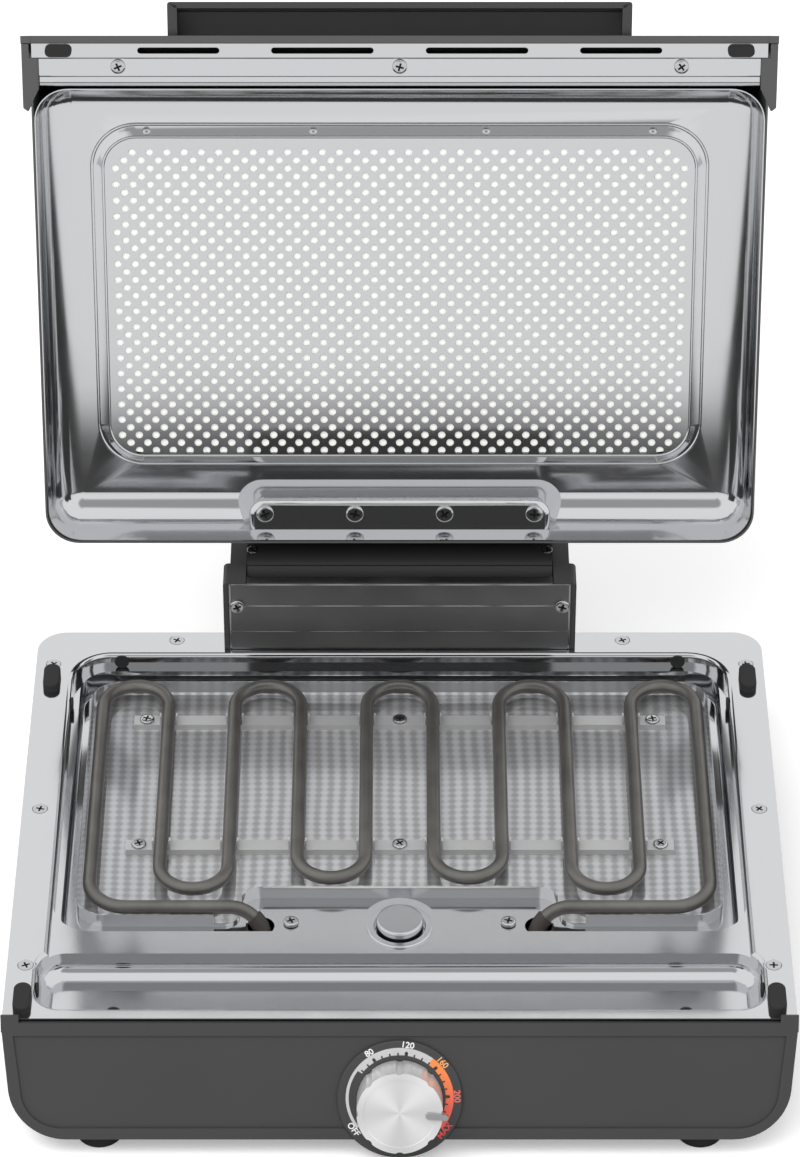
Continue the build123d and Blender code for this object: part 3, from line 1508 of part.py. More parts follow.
def end_cap(side):
    """Corner piece that closes the end of the front strip and runs up the lid's side."""
    inner = lid_width / 2 + seat_gap
    outer = fascia_half
    with BuildPart() as cap:
        with BuildSketch(lid_side(inner)):
            with BuildLine():
                Polyline(
                    (lid_front + seat_gap, lid_lift),
                    (lid_front + end_cap_reach, lid_lift),
                    (lid_front + end_cap_reach - end_cap_slant, lid_lift + fascia_height),
                    (lid_front + seat_gap, lid_lift + fascia_height),
                    close=True,
                )
            make_face()
        extrude(amount=outer - inner)
        with BuildSketch(lid_plane.offset(lid_lift)):
            with Locations((outer, first_end + seat_gap)):
                Rectangle(outer - strip_width / 2 - seat_gap, strip_end - first_end - seat_gap,
                          align=(Align.MAX, Align.MIN))
        extrude(amount=end_cap_plate)
    return cap.part if side > 0 else cap.part.mirror(Plane.YZ)


with BuildPart() as lid_end_cap_left:
    add(end_cap(-1))
lid_end_cap_left.part.label = "lid_end_cap_left"
export_step(lid_end_cap_left.part, "parts/lid_end_cap_left.step")

with BuildPart() as lid_end_cap_right:
    add(end_cap(1))
lid_end_cap_right.part.label = "lid_end_cap_right"
export_step(lid_end_cap_right.part, "parts/lid_end_cap_right.step")

handle_low = lid_lift + handle_under
handle_front = lid_face - handle_reach

with BuildPart() as lid_handle:
    with BuildSketch(lid_plane.offset(handle_low)):
        with Locations((0, lid_face - handle_reach / 2)):
            outline = Rectangle(handle_width, handle_reach)
        fillet(outline.vertices().group_by(Axis.Y)[0], handle_corner)
    extrude(amount=handle_height)
    top = lid_handle.faces().sort_by(Axis(lid_plane.origin, lid_plane.z_dir))[-1]
    fillet(top.edges().sort_by(Axis.Z)[-1], handle_round)
    with BuildSketch(lid_plane.offset(handle_low)):
        with Locations((0, (handle_front + handle_wall + lid_face) / 2)):
            scoop = Rectangle(handle_width - 2 * handle_side, handle_reach - handle_wall)
        fillet(scoop.vertices().group_by(Axis.Y)[0], handle_corner - 1)
    extrude(amount=handle_scoop, mode=Mode.SUBTRACT)
lid_handle.part.label = "lid_handle"
export_step(lid_handle.part, "parts/lid_handle.step")
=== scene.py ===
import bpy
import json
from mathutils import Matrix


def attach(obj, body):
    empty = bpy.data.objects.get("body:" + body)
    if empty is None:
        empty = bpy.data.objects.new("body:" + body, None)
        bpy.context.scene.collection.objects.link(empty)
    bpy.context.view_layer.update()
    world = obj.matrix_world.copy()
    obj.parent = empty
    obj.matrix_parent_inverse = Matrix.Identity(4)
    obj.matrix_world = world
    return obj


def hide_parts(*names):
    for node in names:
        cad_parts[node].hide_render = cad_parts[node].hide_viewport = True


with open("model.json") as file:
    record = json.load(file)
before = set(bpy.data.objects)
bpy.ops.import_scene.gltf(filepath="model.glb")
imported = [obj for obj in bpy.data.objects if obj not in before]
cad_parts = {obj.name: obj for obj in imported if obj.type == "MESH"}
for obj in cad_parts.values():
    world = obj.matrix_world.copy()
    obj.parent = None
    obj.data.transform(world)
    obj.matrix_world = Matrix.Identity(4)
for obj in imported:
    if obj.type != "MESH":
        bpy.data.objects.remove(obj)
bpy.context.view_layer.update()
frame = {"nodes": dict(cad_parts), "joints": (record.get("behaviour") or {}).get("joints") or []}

import json
from math import cos, pi, radians, sin

import bmesh
import bpy
from mathutils import Matrix, Vector

nodes = frame["nodes"]

# ---------------------------------------------------------------- base tub and front panel
# The tub that carries everything, and the panel that closes its front: injection-moulded
# ABS in a dark warm grey. The moulds are lightly spark-eroded, so the faces have a soft
# satin sheen and no mirror highlights.
ABS_GREY = "3E3E3E"
GRAIN_MM = 0.6          # real spark grain is finer; drawn as coarse as the render can show
CLOUD_MM = 71.43        # broad, faint shading from the way the plastic flowed
CLOUD_SHADE = 0.07      # how far the broad shading goes lighter and darker
GLOSS_SPREAD = 0.05     # how far the grain breaks the gloss
GRAIN_DEPTH = 0.0002


def linear(colour):
    """Linear RGBA of an sRGB hex value."""
    parts = [int(colour[i:i + 2], 16) / 255 for i in (0, 2, 4)]
    return [c / 12.92 if c <= 0.04045 else ((c + 0.055) / 1.055) ** 2.4 for c in parts] + [1.0]


def add_node(tree, kind, settings=(), links=()):
    """Adds a shader node, sets its inputs and properties, and links other nodes' sockets to it."""
    node = tree.nodes.new(kind)
    for key, value in dict(settings).items():
        if isinstance(key, int) or key in node.inputs:
            node.inputs[key].default_value = value
        else:
            setattr(node, key, value)
    for key, socket in dict(links).items():
        tree.links.new(socket, node.inputs[key])
    return node


def new_material(name):
    """Empty node material, with its tree, its shader and a source of Object coordinates."""
    material = bpy.data.materials.new(name)
    material.use_nodes = True
    tree = material.node_tree
    tree.nodes.clear()
    shader = add_node(tree, "ShaderNodeBsdfPrincipled")
    add_node(tree, "ShaderNodeOutputMaterial", links={"Surface": shader.outputs[0]})
    place = add_node(tree, "ShaderNodeTexCoord").outputs["Object"]
    return material, tree, shader, place


def moulded_abs(name, colour, roughness, grain=0.12, sheen=0.3):
    """Spark-textured moulded plastic: even colour, slightly broken gloss."""
    material, tree, shader, place = new_material(name)
    fine = add_node(tree, "ShaderNodeTexNoise", {"Scale": 1000 / GRAIN_MM, "Detail": 2.0},
                    {"Vector": place})
    broad = add_node(tree, "ShaderNodeTexNoise", {"Scale": 1000 / CLOUD_MM, "Detail": 3.0},
                     {"Vector": place})
    darker, lighter = ([part * shade for part in linear(colour)[:3]] + [1.0]
                       for shade in (1 - CLOUD_SHADE, 1 + CLOUD_SHADE))
    tint = add_node(tree, "ShaderNodeMix", {"data_type": "RGBA", 6: darker, 7: lighter},
                    {0: broad.outputs["Fac"]})
    gloss = add_node(tree, "ShaderNodeMapRange",
                     {"To Min": roughness - GLOSS_SPREAD, "To Max": roughness + GLOSS_SPREAD},
                     {"Value": fine.outputs["Fac"]})
    bump = add_node(tree, "ShaderNodeBump", {"Strength": grain, "Distance": GRAIN_DEPTH},
                    {"Height": fine.outputs["Fac"]})
    tree.links.new(tint.outputs[2], shader.inputs["Base Color"])
    shader.inputs["Specular IOR Level"].default_value = sheen
    tree.links.new(gloss.outputs[0], shader.inputs["Roughness"])
    tree.links.new(bump.outputs[0], shader.inputs["Normal"])
    return material


WELD_GAP = 0.00001


def dress(material, *names, crease=35):
    """Gives CAD nodes their material, and smooth curves between their real edges."""
    for name in names:
        piece = nodes[name]
        piece.data.materials.clear()
        piece.data.materials.append(material)
        piece.data.shade_smooth()
        weld = piece.modifiers.new("weld", "WELD")
        weld.merge_threshold = WELD_GAP
        split = piece.modifiers.new("edges", "EDGE_SPLIT")
        split.split_angle = radians(crease)
        piece.modifiers.new("flats", "WEIGHTED_NORMAL")


panel_abs = moulded_abs("moulded_abs_panel", ABS_GREY, 0.5)
dress(panel_abs, "front_panel", "base_tub")

# ---------------------------------------------------------------- rear housing and tower caps
# The tower that holds the hinge: the same moulded ABS with a slightly finer gloss, a shade
# darker. The two caps close its ends and hold the hinge pins.
tower_abs = moulded_abs("moulded_abs_tower", "3C3C3C", 0.42)
dress(tower_abs, "rear_housing", "tower_cap_left", "tower_cap_right")

# ---------------------------------------------------------------- feet, gland and sleeves
# Feet, bumpers, plugs and the gland are compression-moulded black rubber, pushed into their
# holes: matt, with a faint dusty bloom. The sleeves on the heater's legs are a little browner.
rubber = moulded_abs("moulded_rubber", "262626", 0.72, grain=0.25)
dress(rubber, "feet", "cord_gland", "deck_bumpers", "lid_bumpers", "wall_plugs")
glazed_sleeve = moulded_abs("heat_shrunk_sleeve", "3B3633", 0.5)
dress(glazed_sleeve, "leg_sleeves")

# ---------------------------------------------------------------- deck pan, tray and cover
# Bright-annealed stainless steel sheet, deep drawn and buffed to a mirror: it shows its
# surroundings, a little softened, with faint waves from the press. The tray lies loose in
# the well, the cover is screwed to the tower and the spring-steel brackets are left satin.
STEEL = "D3D4D6"
WAVE_MM, WAVE_DEPTH = 90.0, 0.0008
SMEAR_MM = 26.316       # wiping marks in the polish
LEVEL_FROM, LEVEL_FULL = 0.97, 0.999            # how upright a face's normal is on the tray's floor
BOW_FRONT, BOW_REAR, BOW_LEAN = -0.07, 0.09, 0.3        # where the floor's bow starts and ends
# painted reflection of the punched field, laid into the tray floor's colour in wavy columns and rows
COLUMN_MM, SQUARE_MM, SQUARE_DRIFT = 6.6, 4.8, 0.006
ROW_SHARE, SQUARE_EDGE = 0.5, 0.9       # rows are fainter than columns, and every edge is soft
PAINTED_REFLECTION_GREY = "ACACAD"


def painted_reflection_squares(tree, shader, colour, place, waves, level):
    """Painted reflection in the base colour: soft light squares in wavy columns, the punched field as the
    pressed tray mirrors it.
    """
    drift = add_node(tree, "ShaderNodeVectorMath", {"operation": "SCALE", "Scale": SQUARE_DRIFT},
                     {0: waves.outputs["Color"]})
    wavy = add_node(tree, "ShaderNodeVectorMath", {"operation": "ADD"}, {0: place, 1: drift.outputs[0]})
    parts = add_node(tree, "ShaderNodeSeparateXYZ", links={0: wavy.outputs[0]})
    crests = []
    for axis, pitch in (("X", COLUMN_MM), ("Y", SQUARE_MM)):
        turn = add_node(tree, "ShaderNodeMath", {"operation": "MULTIPLY", 1: 2000 * pi / pitch},
                        {0: parts.outputs[axis]})
        crest = add_node(tree, "ShaderNodeMath", {"operation": "SINE"}, {0: turn.outputs[0]})
        crests.append(crest.outputs[0])
    weaker = add_node(tree, "ShaderNodeMath", {"operation": "MULTIPLY", 1: ROW_SHARE}, {0: crests[1]})
    both = add_node(tree, "ShaderNodeMath", {"operation": "ADD"}, {0: crests[0], 1: weaker.outputs[0]})
    dimmed = add_node(tree, "ShaderNodeMapRange", {"From Min": SQUARE_EDGE, "From Max": -SQUARE_EDGE},
                      {"Value": both.outputs[0]})
    on_floor = add_node(tree, "ShaderNodeMath", {"operation": "MULTIPLY"},
                        {0: dimmed.outputs[0], 1: level.outputs[0]})
    painted_squares = add_node(tree, "ShaderNodeMix",
                       {"data_type": "RGBA", 6: linear(colour), 7: linear(PAINTED_REFLECTION_GREY)},
                       {0: on_floor.outputs[0]})
    tree.links.new(painted_squares.outputs[2], shader.inputs["Base Color"])


def bowed_normal(tree, bump, place, flat, level):
    """The pressed tray's floor is bowed: its rear leans towards the front and mirrors the lid."""
    across = add_node(tree, "ShaderNodeSeparateXYZ", links={0: place})
    bow = add_node(tree, "ShaderNodeMapRange", {"From Min": BOW_FRONT, "From Max": BOW_REAR,
                                                "To Min": 0.0, "To Max": -BOW_LEAN},
                   {"Value": across.outputs["Y"]})
    lean = add_node(tree, "ShaderNodeCombineXYZ", links={"Y": bow.outputs[0]})
    floor_only = add_node(tree, "ShaderNodeVectorMath", {"operation": "SCALE"},
                          {0: lean.outputs[0], "Scale": level.outputs[0]})
    leaned = add_node(tree, "ShaderNodeVectorMath", {"operation": "ADD"},
                      {0: flat, 1: floor_only.outputs[0]})
    even = add_node(tree, "ShaderNodeVectorMath", {"operation": "NORMALIZE"}, {0: leaned.outputs[0]})
    tree.links.new(even.outputs[0], bump.inputs["Normal"])


def polished_steel(name, colour, roughness, wave=0.15, metal=1.0, dished=False):
    """Mirror-buffed sheet steel with the press's slow waves in it."""
    material, tree, shader, place = new_material(name)
    waves = add_node(tree, "ShaderNodeTexNoise", {"Scale": 1000 / WAVE_MM, "Detail": 1.0},
                     {"Vector": place})
    smears = add_node(tree, "ShaderNodeTexNoise", {"Scale": 1000 / SMEAR_MM, "Detail": 4.0},
                      {"Vector": place})
    gloss = add_node(tree, "ShaderNodeMapRange",
                     {"To Min": roughness * 0.7, "To Max": roughness * 1.4},
                     {"Value": smears.outputs["Fac"]})
    bump = add_node(tree, "ShaderNodeBump", {"Strength": wave, "Distance": WAVE_DEPTH},
                    {"Height": waves.outputs["Fac"]})
    shader.inputs["Base Color"].default_value = linear(colour)
    shader.inputs["Metallic"].default_value = metal
    tree.links.new(gloss.outputs[0], shader.inputs["Roughness"])
    # a dished floor gets a painted reflection of the punched field in its colour, and a bowed normal
    if dished:
        flat = add_node(tree, "ShaderNodeNewGeometry").outputs["Normal"]
        upright = add_node(tree, "ShaderNodeSeparateXYZ", links={0: flat})
        level = add_node(tree, "ShaderNodeMapRange", {"From Min": LEVEL_FROM, "From Max": LEVEL_FULL},
                         {"Value": upright.outputs["Z"]})
        painted_reflection_squares(tree, shader, colour, place, waves, level)
        bowed_normal(tree, bump, place, flat, level)
    tree.links.new(bump.outputs[0], shader.inputs["Normal"])
    return material


mirror_steel = polished_steel("mirror_buffed_steel", STEEL, 0.09)
dress(mirror_steel, "deck_pan", "terminal_plates", "sensor_ring")
satin_steel = polished_steel("satin_spring_steel", "C4C4C4", 0.42, wave=0.05, metal=0.55)
dress(satin_steel, "element_brackets")
cover_steel = polished_steel("satin_cover_steel", "8C8C8C", 0.42, wave=0.03)
dress(cover_steel, "tower_cover")
# the tray's floor has a painted reflection of the punched field in its base colour
tray_steel = polished_steel("mirror_tray_steel", STEEL, 0.05, wave=0.1, metal=0.72, dished=True)
dress(tray_steel, "reflector_tray")

# ---------------------------------------------------------------- screws and small metal parts
# Cold-headed screws of bright zinc-plated steel, with a sunk cross, each driven to its own
# angle: a plain grey metal gloss. The pins, the spring and the shaft have the same finish.
zinc_steel = polished_steel("zinc_plated_steel", "C6C7C8", 0.16)
dress(zinc_steel, "thermostat_screws", "thermostat_plate", "thermostat_shaft", "hinge_pins",
      "sensor_spring")
# the sunk crosses are painted near black: painted shade in the recesses
recess_painted_shade = moulded_abs("blackened_cross_recess", "1C1C1C", 0.5, grain=0.02)
hinge = next(j for j in frame["joints"] if j["name"] == "lid_hinge")
HINGE_BACK, HINGE_UP = 0.324, 0.035     # the hinge from the deck's front edge and top
LID_OPEN = radians(102)
deck_front = hinge["pos_m"][1] - HINGE_BACK
deck_top = hinge["pos_m"][2] - HINGE_UP
lid_place = (Matrix.Translation(hinge["pos_m"]) @ Matrix.Rotation(-LID_OPEN, 4, "X")
             @ Matrix.Translation((0, -HINGE_BACK, -HINGE_UP)))
deck_place = Matrix.Translation((0, deck_front, deck_top))
facing_front = Matrix.Rotation(radians(90), 4, "X")
facing_down = Matrix.Rotation(radians(180), 4, "X")
# shares of the head's radius: how far the cross reaches, its half width, and the flat top
CROSS_REACH, CROSS_ARM, HEAD_FLAT = 0.56, 0.13, 0.72
CROSS_LEAST, CROSS_DEPTH, CROSS_TAPER = 0.0012, 0.8, 0.6
DOME = ((0.9, 0.1), (0.985, 0.36), (1.0, 0.62), (1.0, 1.0))     # radius, and how far down, in shares
TURN_FIRST, TURN_NEXT = 0.4, 0.9


def verts_in(geom):
    """The vertices in what an operator gives back."""
    return [g for g in geom if isinstance(g, bmesh.types.BMVert)]


def edges_between(geom, verts):
    """The edges in what an operator gives back that join two of the vertices."""
    edges = [g for g in geom if isinstance(g, bmesh.types.BMEdge)]
    return [e for e in edges if e.verts[0] in verts and e.verts[1] in verts]


def mesh_of(shape, name):
    """Mesh of a finished shape, which is then freed."""
    mesh = bpy.data.meshes.new(name)
    shape.to_mesh(mesh)
    shape.free()
    return mesh


def new_object(name, data):
    """Object in the scene that shows a mesh, a curve, a lamp or a camera."""
    added = bpy.data.objects.new(name, data)
    bpy.context.scene.collection.objects.link(added)
    return added


def next_ring(body, rim, radius, height):
    """Draws an open rim out or in to a new radius and height, and gives its new edges."""
    drawn = bmesh.ops.extrude_edge_only(body, edges=rim)["geom"]
    ring = verts_in(drawn)
    now = ring[0].co.xy.length
    bmesh.ops.scale(body, verts=ring, vec=(radius / now, radius / now, 1))
    for vert in ring:
        vert.co.z = height
    return edges_between(drawn, ring)


def screw(head, rise, shank, length, turn):
    """Cross-recessed screw: a domed (or flat) head with a sunk cross in painted shade, on a plain shank."""
    body = bmesh.new()
    reach, arm, deep = head * CROSS_REACH, head * CROSS_ARM, max(rise, CROSS_LEAST) * CROSS_DEPTH
    corners = []
    for quarter in range(4):
        turned = Matrix.Rotation(quarter * pi / 2 + turn, 3, "Z")
        for x, y in ((reach, -arm), (reach, arm), (arm, arm)):
            corners.append(body.verts.new(turned @ Vector((x, y, rise))))
    cross = [body.edges.new((corners[i - 1], corners[i])) for i in range(12)]
    top = bmesh.ops.create_circle(body, cap_ends=False, segments=20, radius=head * HEAD_FLAT,
                                  matrix=Matrix.Translation((0, 0, rise)))["verts"]
    rim = list({e for v in top for e in v.link_edges})
    bmesh.ops.triangle_fill(body, edges=cross + rim, normal=(0, 0, 1))
    for face in body.faces:
        if face.normal.z < 0:
            face.normal_flip()
    sunk = bmesh.ops.extrude_edge_only(body, edges=cross)["geom"]
    low = verts_in(sunk)
    bmesh.ops.scale(body, verts=low, vec=(CROSS_TAPER, CROSS_TAPER, 1))
    bmesh.ops.translate(body, verts=low, vec=(0, 0, -deep))
    floor = bmesh.ops.contextual_create(body, geom=edges_between(sunk, low))["faces"]
    # the cross's walls and floor take the second material, painted shade
    for face in floor + [g for g in sunk if isinstance(g, bmesh.types.BMFace)]:
        face.material_index = 1
    for share, down in DOME if rise else ((1.0, 0.0),):
        rim = next_ring(body, rim, head * share, rise * (1 - down))
    rim = next_ring(body, rim, shank, 0.0 if rise else shank - head)
    rim = next_ring(body, rim, shank, -length)
    bmesh.ops.contextual_create(body, geom=rim)
    bmesh.ops.recalc_face_normals(body, faces=body.faces)
    return mesh_of(body, "screw")


def screw_set(node, body_name, places, head, rise, shank, length):
    """All screws of one CAD node, each turned differently in its hole, in place of that node."""
    merged = bmesh.new()
    for number, place in enumerate(places):
        one = screw(head, rise, shank, length, TURN_FIRST + number * TURN_NEXT)
        one.transform(place)
        merged.from_mesh(one)
        bpy.data.meshes.remove(one)
    for face in merged.faces:
        face.smooth = True
    for edge in merged.edges:
        same_finish = len({f.material_index for f in edge.link_faces}) == 1
        edge.smooth = edge.calc_face_angle(0) < radians(40) and same_finish
    mesh = mesh_of(merged, node + "_crosshead")
    mesh.materials.append(zinc_steel)
    mesh.materials.append(recess_painted_shade)
    piece = new_object(node + "_crosshead", mesh)
    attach(piece, body_name)
    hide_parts(node)


def on_deck(x, back, up):
    """Place of an upright screw whose head sits at a height above or below the deck."""
    return deck_place @ Matrix.Translation((x, back, up))


def under_lid(x, back, up):
    """Place of a screw driven upwards into the closed lid."""
    return lid_place @ Matrix.Translation((x, back, up)) @ facing_down


SUNK = -0.00002         # countersunk heads lie a hair below the sheet
deck_places = [on_deck(side * 0.19, back, SUNK) for side in (-1, 1) for back in (0.04, 0.163, 0.286)]
deck_places += [on_deck(side * 0.123, 0.307, SUNK) for side in (-1, 1)]
screw_set("deck_screws", "base", deck_places, head=0.0039, rise=0, shank=0.0016, length=0.012)
screw_set("bracket_screws", "base",
          [on_deck(x, back, -0.0173) for x in (-0.138, 0, 0.138) for back in (0.1537, 0.2582)],
          head=0.004, rise=0.0016, shank=0.0015, length=0.007)
screw_set("terminal_screws", "base", [on_deck(side * 0.0565, 0.0948, -0.0199) for side in (-1, 1)],
          head=0.004, rise=0.0016, shank=0.0015, length=0.007)
screw_set("tower_screws", "base",
          [on_deck(side * 0.089, 0.299, 0.03) @ facing_front for side in (-1, 1)],
          head=0.0042, rise=0.0016, shank=0.0016, length=0.012)
screw_set("strip_screws", "lid", [under_lid(x, 0.0212, 0.0066) for x in (-0.146, 0, 0.146)],
          head=0.0039, rise=0.0016, shank=0.0015, length=0.007)
POCKET_PITCH = 0.0487
screw_set("pocket_screws", "lid",
          [under_lid(POCKET_PITCH * (number - 1.5), 0.279, 0.013) for number in range(4)],
          head=0.0049, rise=0.0016, shank=0.0016, length=0.0198)
# the arm's screws stand square on its round hub
HUB_TURN, HUB_RADIUS, ARM_SCREW_HALF = radians(203), 0.0169, 0.0808
arm_places = [lid_place @ Matrix.Translation((side * ARM_SCREW_HALF, HINGE_BACK + HUB_RADIUS * cos(HUB_TURN),
                                              HINGE_UP + HUB_RADIUS * sin(HUB_TURN)))
              @ Matrix.Rotation(HUB_TURN - pi / 2, 4, "X") for side in (-1, 1)]
screw_set("arm_screws", "lid", arm_places, head=0.003, rise=0.0013, shank=0.0015, length=0.007)

# ---------------------------------------------------------------- rolled lip of the tray
# The front edge of the tray's sheet is rolled over into a thin bead, which
# draws a bright line before the saddle. The roll is satin from the forming tool.
LIP_HALF, LIP_RADIUS, LIP_Y, LIP_Z = 0.0715, 0.0006, -0.0677, 0.0578


def rod_across(shape, radius, half, back, up):
    """Round bead that lies across the grill."""
    bmesh.ops.create_cone(shape, cap_ends=True, segments=16, radius1=radius, radius2=radius, depth=2 * half,
                          matrix=Matrix.Translation((0, back, up)) @ Matrix.Rotation(pi / 2, 4, "Y"))


def add_piece(name, shape, body, material):
    """Finished mesh piece that rides on a body."""
    mesh = mesh_of(shape, name)
    mesh.materials.append(material)
    piece = new_object(name, mesh)
    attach(piece, body)
    return piece


lip = bmesh.new()
rod_across(lip, LIP_RADIUS, LIP_HALF, LIP_Y, LIP_Z)
for face in lip.faces:
    face.smooth = len(face.verts) == 4
add_piece("tray_rolled_lip", lip, "base", satin_steel)

# ---------------------------------------------------------------- folds of the tower cover
# The sheet in front of the tower is folded over at its edges and creased twice across.
# The folds are rounded, so each shows as a thin bright line.
COVER_FACE, COVER_HALF, COVER_LOW, COVER_HIGH = 0.2991, 0.0928, 0.0005, 0.0452
FOLD_RISE, SIDE_FOLD = 0.0003, 0.0004
FOLDS = ((0.0008, 0.0006), (0.0126, 0.0004), (0.0302, 0.0005), (0.0448, 0.0009))    # height, thickness


def block(shape, low, high):
    """Box between two corners."""
    size = Vector(high) - Vector(low)
    middle = (Vector(high) + Vector(low)) / 2
    bmesh.ops.create_cube(shape, size=1.0, matrix=Matrix.Translation(middle) @ Matrix.Diagonal((*size, 1)))


folds = bmesh.new()
for up, thick in FOLDS:
    block(folds, (-COVER_HALF, COVER_FACE - FOLD_RISE, up - thick / 2),
          (COVER_HALF, COVER_FACE, up + thick / 2))
for side in (-1, 1):
    block(folds, (side * COVER_HALF - SIDE_FOLD, COVER_FACE - FOLD_RISE, COVER_LOW),
          (side * COVER_HALF + SIDE_FOLD, COVER_FACE, COVER_HIGH))
bmesh.ops.transform(folds, matrix=deck_place, verts=folds.verts)
add_piece("tower_cover_folds", folds, "base", zinc_steel)

# ---------------------------------------------------------------- heating element
# A steel-sheathed tubular heater, bent cold and then annealed: dull warm grey
# with a soft metallic shine and slight blotches of oxide along it. It lies in the
# notches of its two brackets.
BLOTCH_MM, SCALE_MM = 16.667, 0.71429


def heater_sheath():
    """Oxidised steel tube."""
    material, tree, shader, place = new_material("oxidised_heater_sheath")
    blotch = add_node(tree, "ShaderNodeTexNoise", {"Scale": 1000 / BLOTCH_MM, "Detail": 6.0},
                      {"Vector": place})
    tint = add_node(tree, "ShaderNodeMix", {"data_type": "RGBA", 6: linear("5C5A57"), 7: linear("82807C")},
                    {0: blotch.outputs["Fac"]})
    gloss = add_node(tree, "ShaderNodeMapRange", {"To Min": 0.3, "To Max": 0.46},
                     {"Value": blotch.outputs["Fac"]})
    grit = add_node(tree, "ShaderNodeTexNoise", {"Scale": 1000 / SCALE_MM, "Detail": 2.0},
                    {"Vector": place})
    bump = add_node(tree, "ShaderNodeBump", {"Strength": 0.12, "Distance": 0.0002},
                    {"Height": grit.outputs["Fac"]})
    shader.inputs["Metallic"].default_value = 0.75
    tree.links.new(tint.outputs[2], shader.inputs["Base Color"])
    tree.links.new(gloss.outputs[0], shader.inputs["Roughness"])
    tree.links.new(bump.outputs[0], shader.inputs["Normal"])
    return material


dress(heater_sheath(), "heating_element", crease=60)

# ---------------------------------------------------------------- sensor button
# Turned steel cap over the spring, its top faced in a lathe. It slides in the
# guide ring and feels the plate's heat.
turned_steel = polished_steel("turned_steel", "C9CACC", 0.2, wave=0.05)
dress(turned_steel, "sensor_button")

# ---------------------------------------------------------------- thermostat and terminal block
# Hidden heat-proof phenolic mouldings, plain dark and matt. The knob's core
# is the same, pressed on to the shaft.
phenolic = moulded_abs("moulded_phenolic", "2E2E2E", 0.55)
dress(phenolic, "thermostat_body", "terminal_block", "knob_core")

# ---------------------------------------------------------------- dial
# A smooth moulded disc behind the knob, with its scale pad-printed on it: a thin light arc
# from OFF, a broad band with a notch every ten degrees, and its hot end in orange to red.
knob_joint = next(j for j in frame["joints"] if j["name"] == "knob_turn")
dial_axis = Vector(knob_joint["axis"]).normalized()
dial_up = dial_axis.cross(Vector((1, 0, 0)))
dial_place = Matrix.Translation(knob_joint["pos_m"]) @ Matrix(
    ((1, dial_up.x, dial_axis.x, 0), (0, dial_up.y, dial_axis.y, 0), (0, dial_up.z, dial_axis.z, 0),
     (0, 0, 0, 1)))
DIAL_THICK = 0.0022
SCALE_RISE = 0.0009     # the print is centred a little above the shaft
INK_THICK = 0.00006
INK_ROUGHNESS, INK_WEAR, SPECK_MM = 0.45, 0.94, 0.4
BAND_OUT, BAND_IN, LINE_IN = 0.0272, 0.0232, 0.0257
OFF_AT, BAND_AT, HOT_AT, MAX_AT = 217, 145, 52, -38         # degrees round the dial
HOT_FROM, HOT_TO = 0.018, -0.004        # heights from the shaft between which it turns red
dial_abs = moulded_abs("moulded_dial_disc", "3F3F3F", 0.3, grain=0.04)
dress(dial_abs, "dial_disc")


def printing_ink(name, colour, hot=None):
    """Pad-printing ink, slightly raised and satin; the hot band runs from one colour to another."""
    material, tree, shader, place = new_material(name)
    shader.inputs["Roughness"].default_value = INK_ROUGHNESS
    specks = add_node(tree, "ShaderNodeTexNoise", {"Scale": 1000 / SPECK_MM}, {"Vector": place})
    first, last = linear(colour), linear(hot or colour)
    height = add_node(tree, "ShaderNodeSeparateXYZ", links={0: place})
    shaft_height = knob_joint["pos_m"][2]
    run = add_node(tree, "ShaderNodeMapRange",
                   {"From Min": shaft_height + HOT_FROM, "From Max": shaft_height + HOT_TO},
                   {"Value": height.outputs["Z"]})
    tint = add_node(tree, "ShaderNodeMix", {"data_type": "RGBA", 6: first, 7: last},
                    {0: run.outputs[0]})
    worn = add_node(tree, "ShaderNodeMix",
                    {"data_type": "RGBA", "blend_type": "MULTIPLY", 7: (INK_WEAR, INK_WEAR, INK_WEAR, 1)},
                    {0: specks.outputs["Fac"], 6: tint.outputs[2]})
    tree.links.new(worn.outputs[2], shader.inputs["Base Color"])
    return material


def arc_band(mesh, inner, outer, start, end):
    """Flat ring segment between two radii, spun about the dial's centre."""
    a = radians(start)
    edge = [mesh.verts.new((r * cos(a), r * sin(a), DIAL_THICK)) for r in (inner, outer)]
    line = mesh.edges.new(edge)
    steps = max(2, int(abs(start - end) / 2))
    bmesh.ops.spin(mesh, geom=[line, *edge], cent=(0, 0, 0), axis=(0, 0, 1),
                   angle=radians(end - start), steps=steps, use_merge=False)


NOTCH_PAST = 0.0003     # a notch starts a little inside the band's edge


def notch(mesh, angle, width, depth):
    """Rounded notch of bare dial, standing a hair above the band that it cuts into."""
    turn = Matrix.Rotation(radians(angle), 4, "Z")
    straight = depth - width / 2
    end = turn @ Matrix.Translation((BAND_IN + straight, 0, DIAL_THICK + INK_THICK))
    bmesh.ops.create_circle(mesh, cap_ends=True, segments=14, radius=width / 2, matrix=end)
    stem = turn @ Matrix.Translation((BAND_IN + straight / 2 - NOTCH_PAST, 0, DIAL_THICK + INK_THICK))
    bmesh.ops.create_grid(mesh, x_segments=1, y_segments=1, size=0.5,
                          matrix=stem @ Matrix.Diagonal((straight + 2 * NOTCH_PAST, width, 1, 1)))


def finish_print(mesh):
    """Merges a printed mark, turns it face up, and lays it on the dial."""
    bmesh.ops.remove_doubles(mesh, verts=mesh.verts, dist=0.000001)
    bmesh.ops.recalc_face_normals(mesh, faces=mesh.faces)
    bmesh.ops.reverse_faces(mesh, faces=[f for f in mesh.faces if f.normal.z < 0])
    bmesh.ops.transform(mesh, verts=mesh.verts,
                        matrix=dial_place @ Matrix.Translation((0, SCALE_RISE, INK_THICK)))
    return mesh


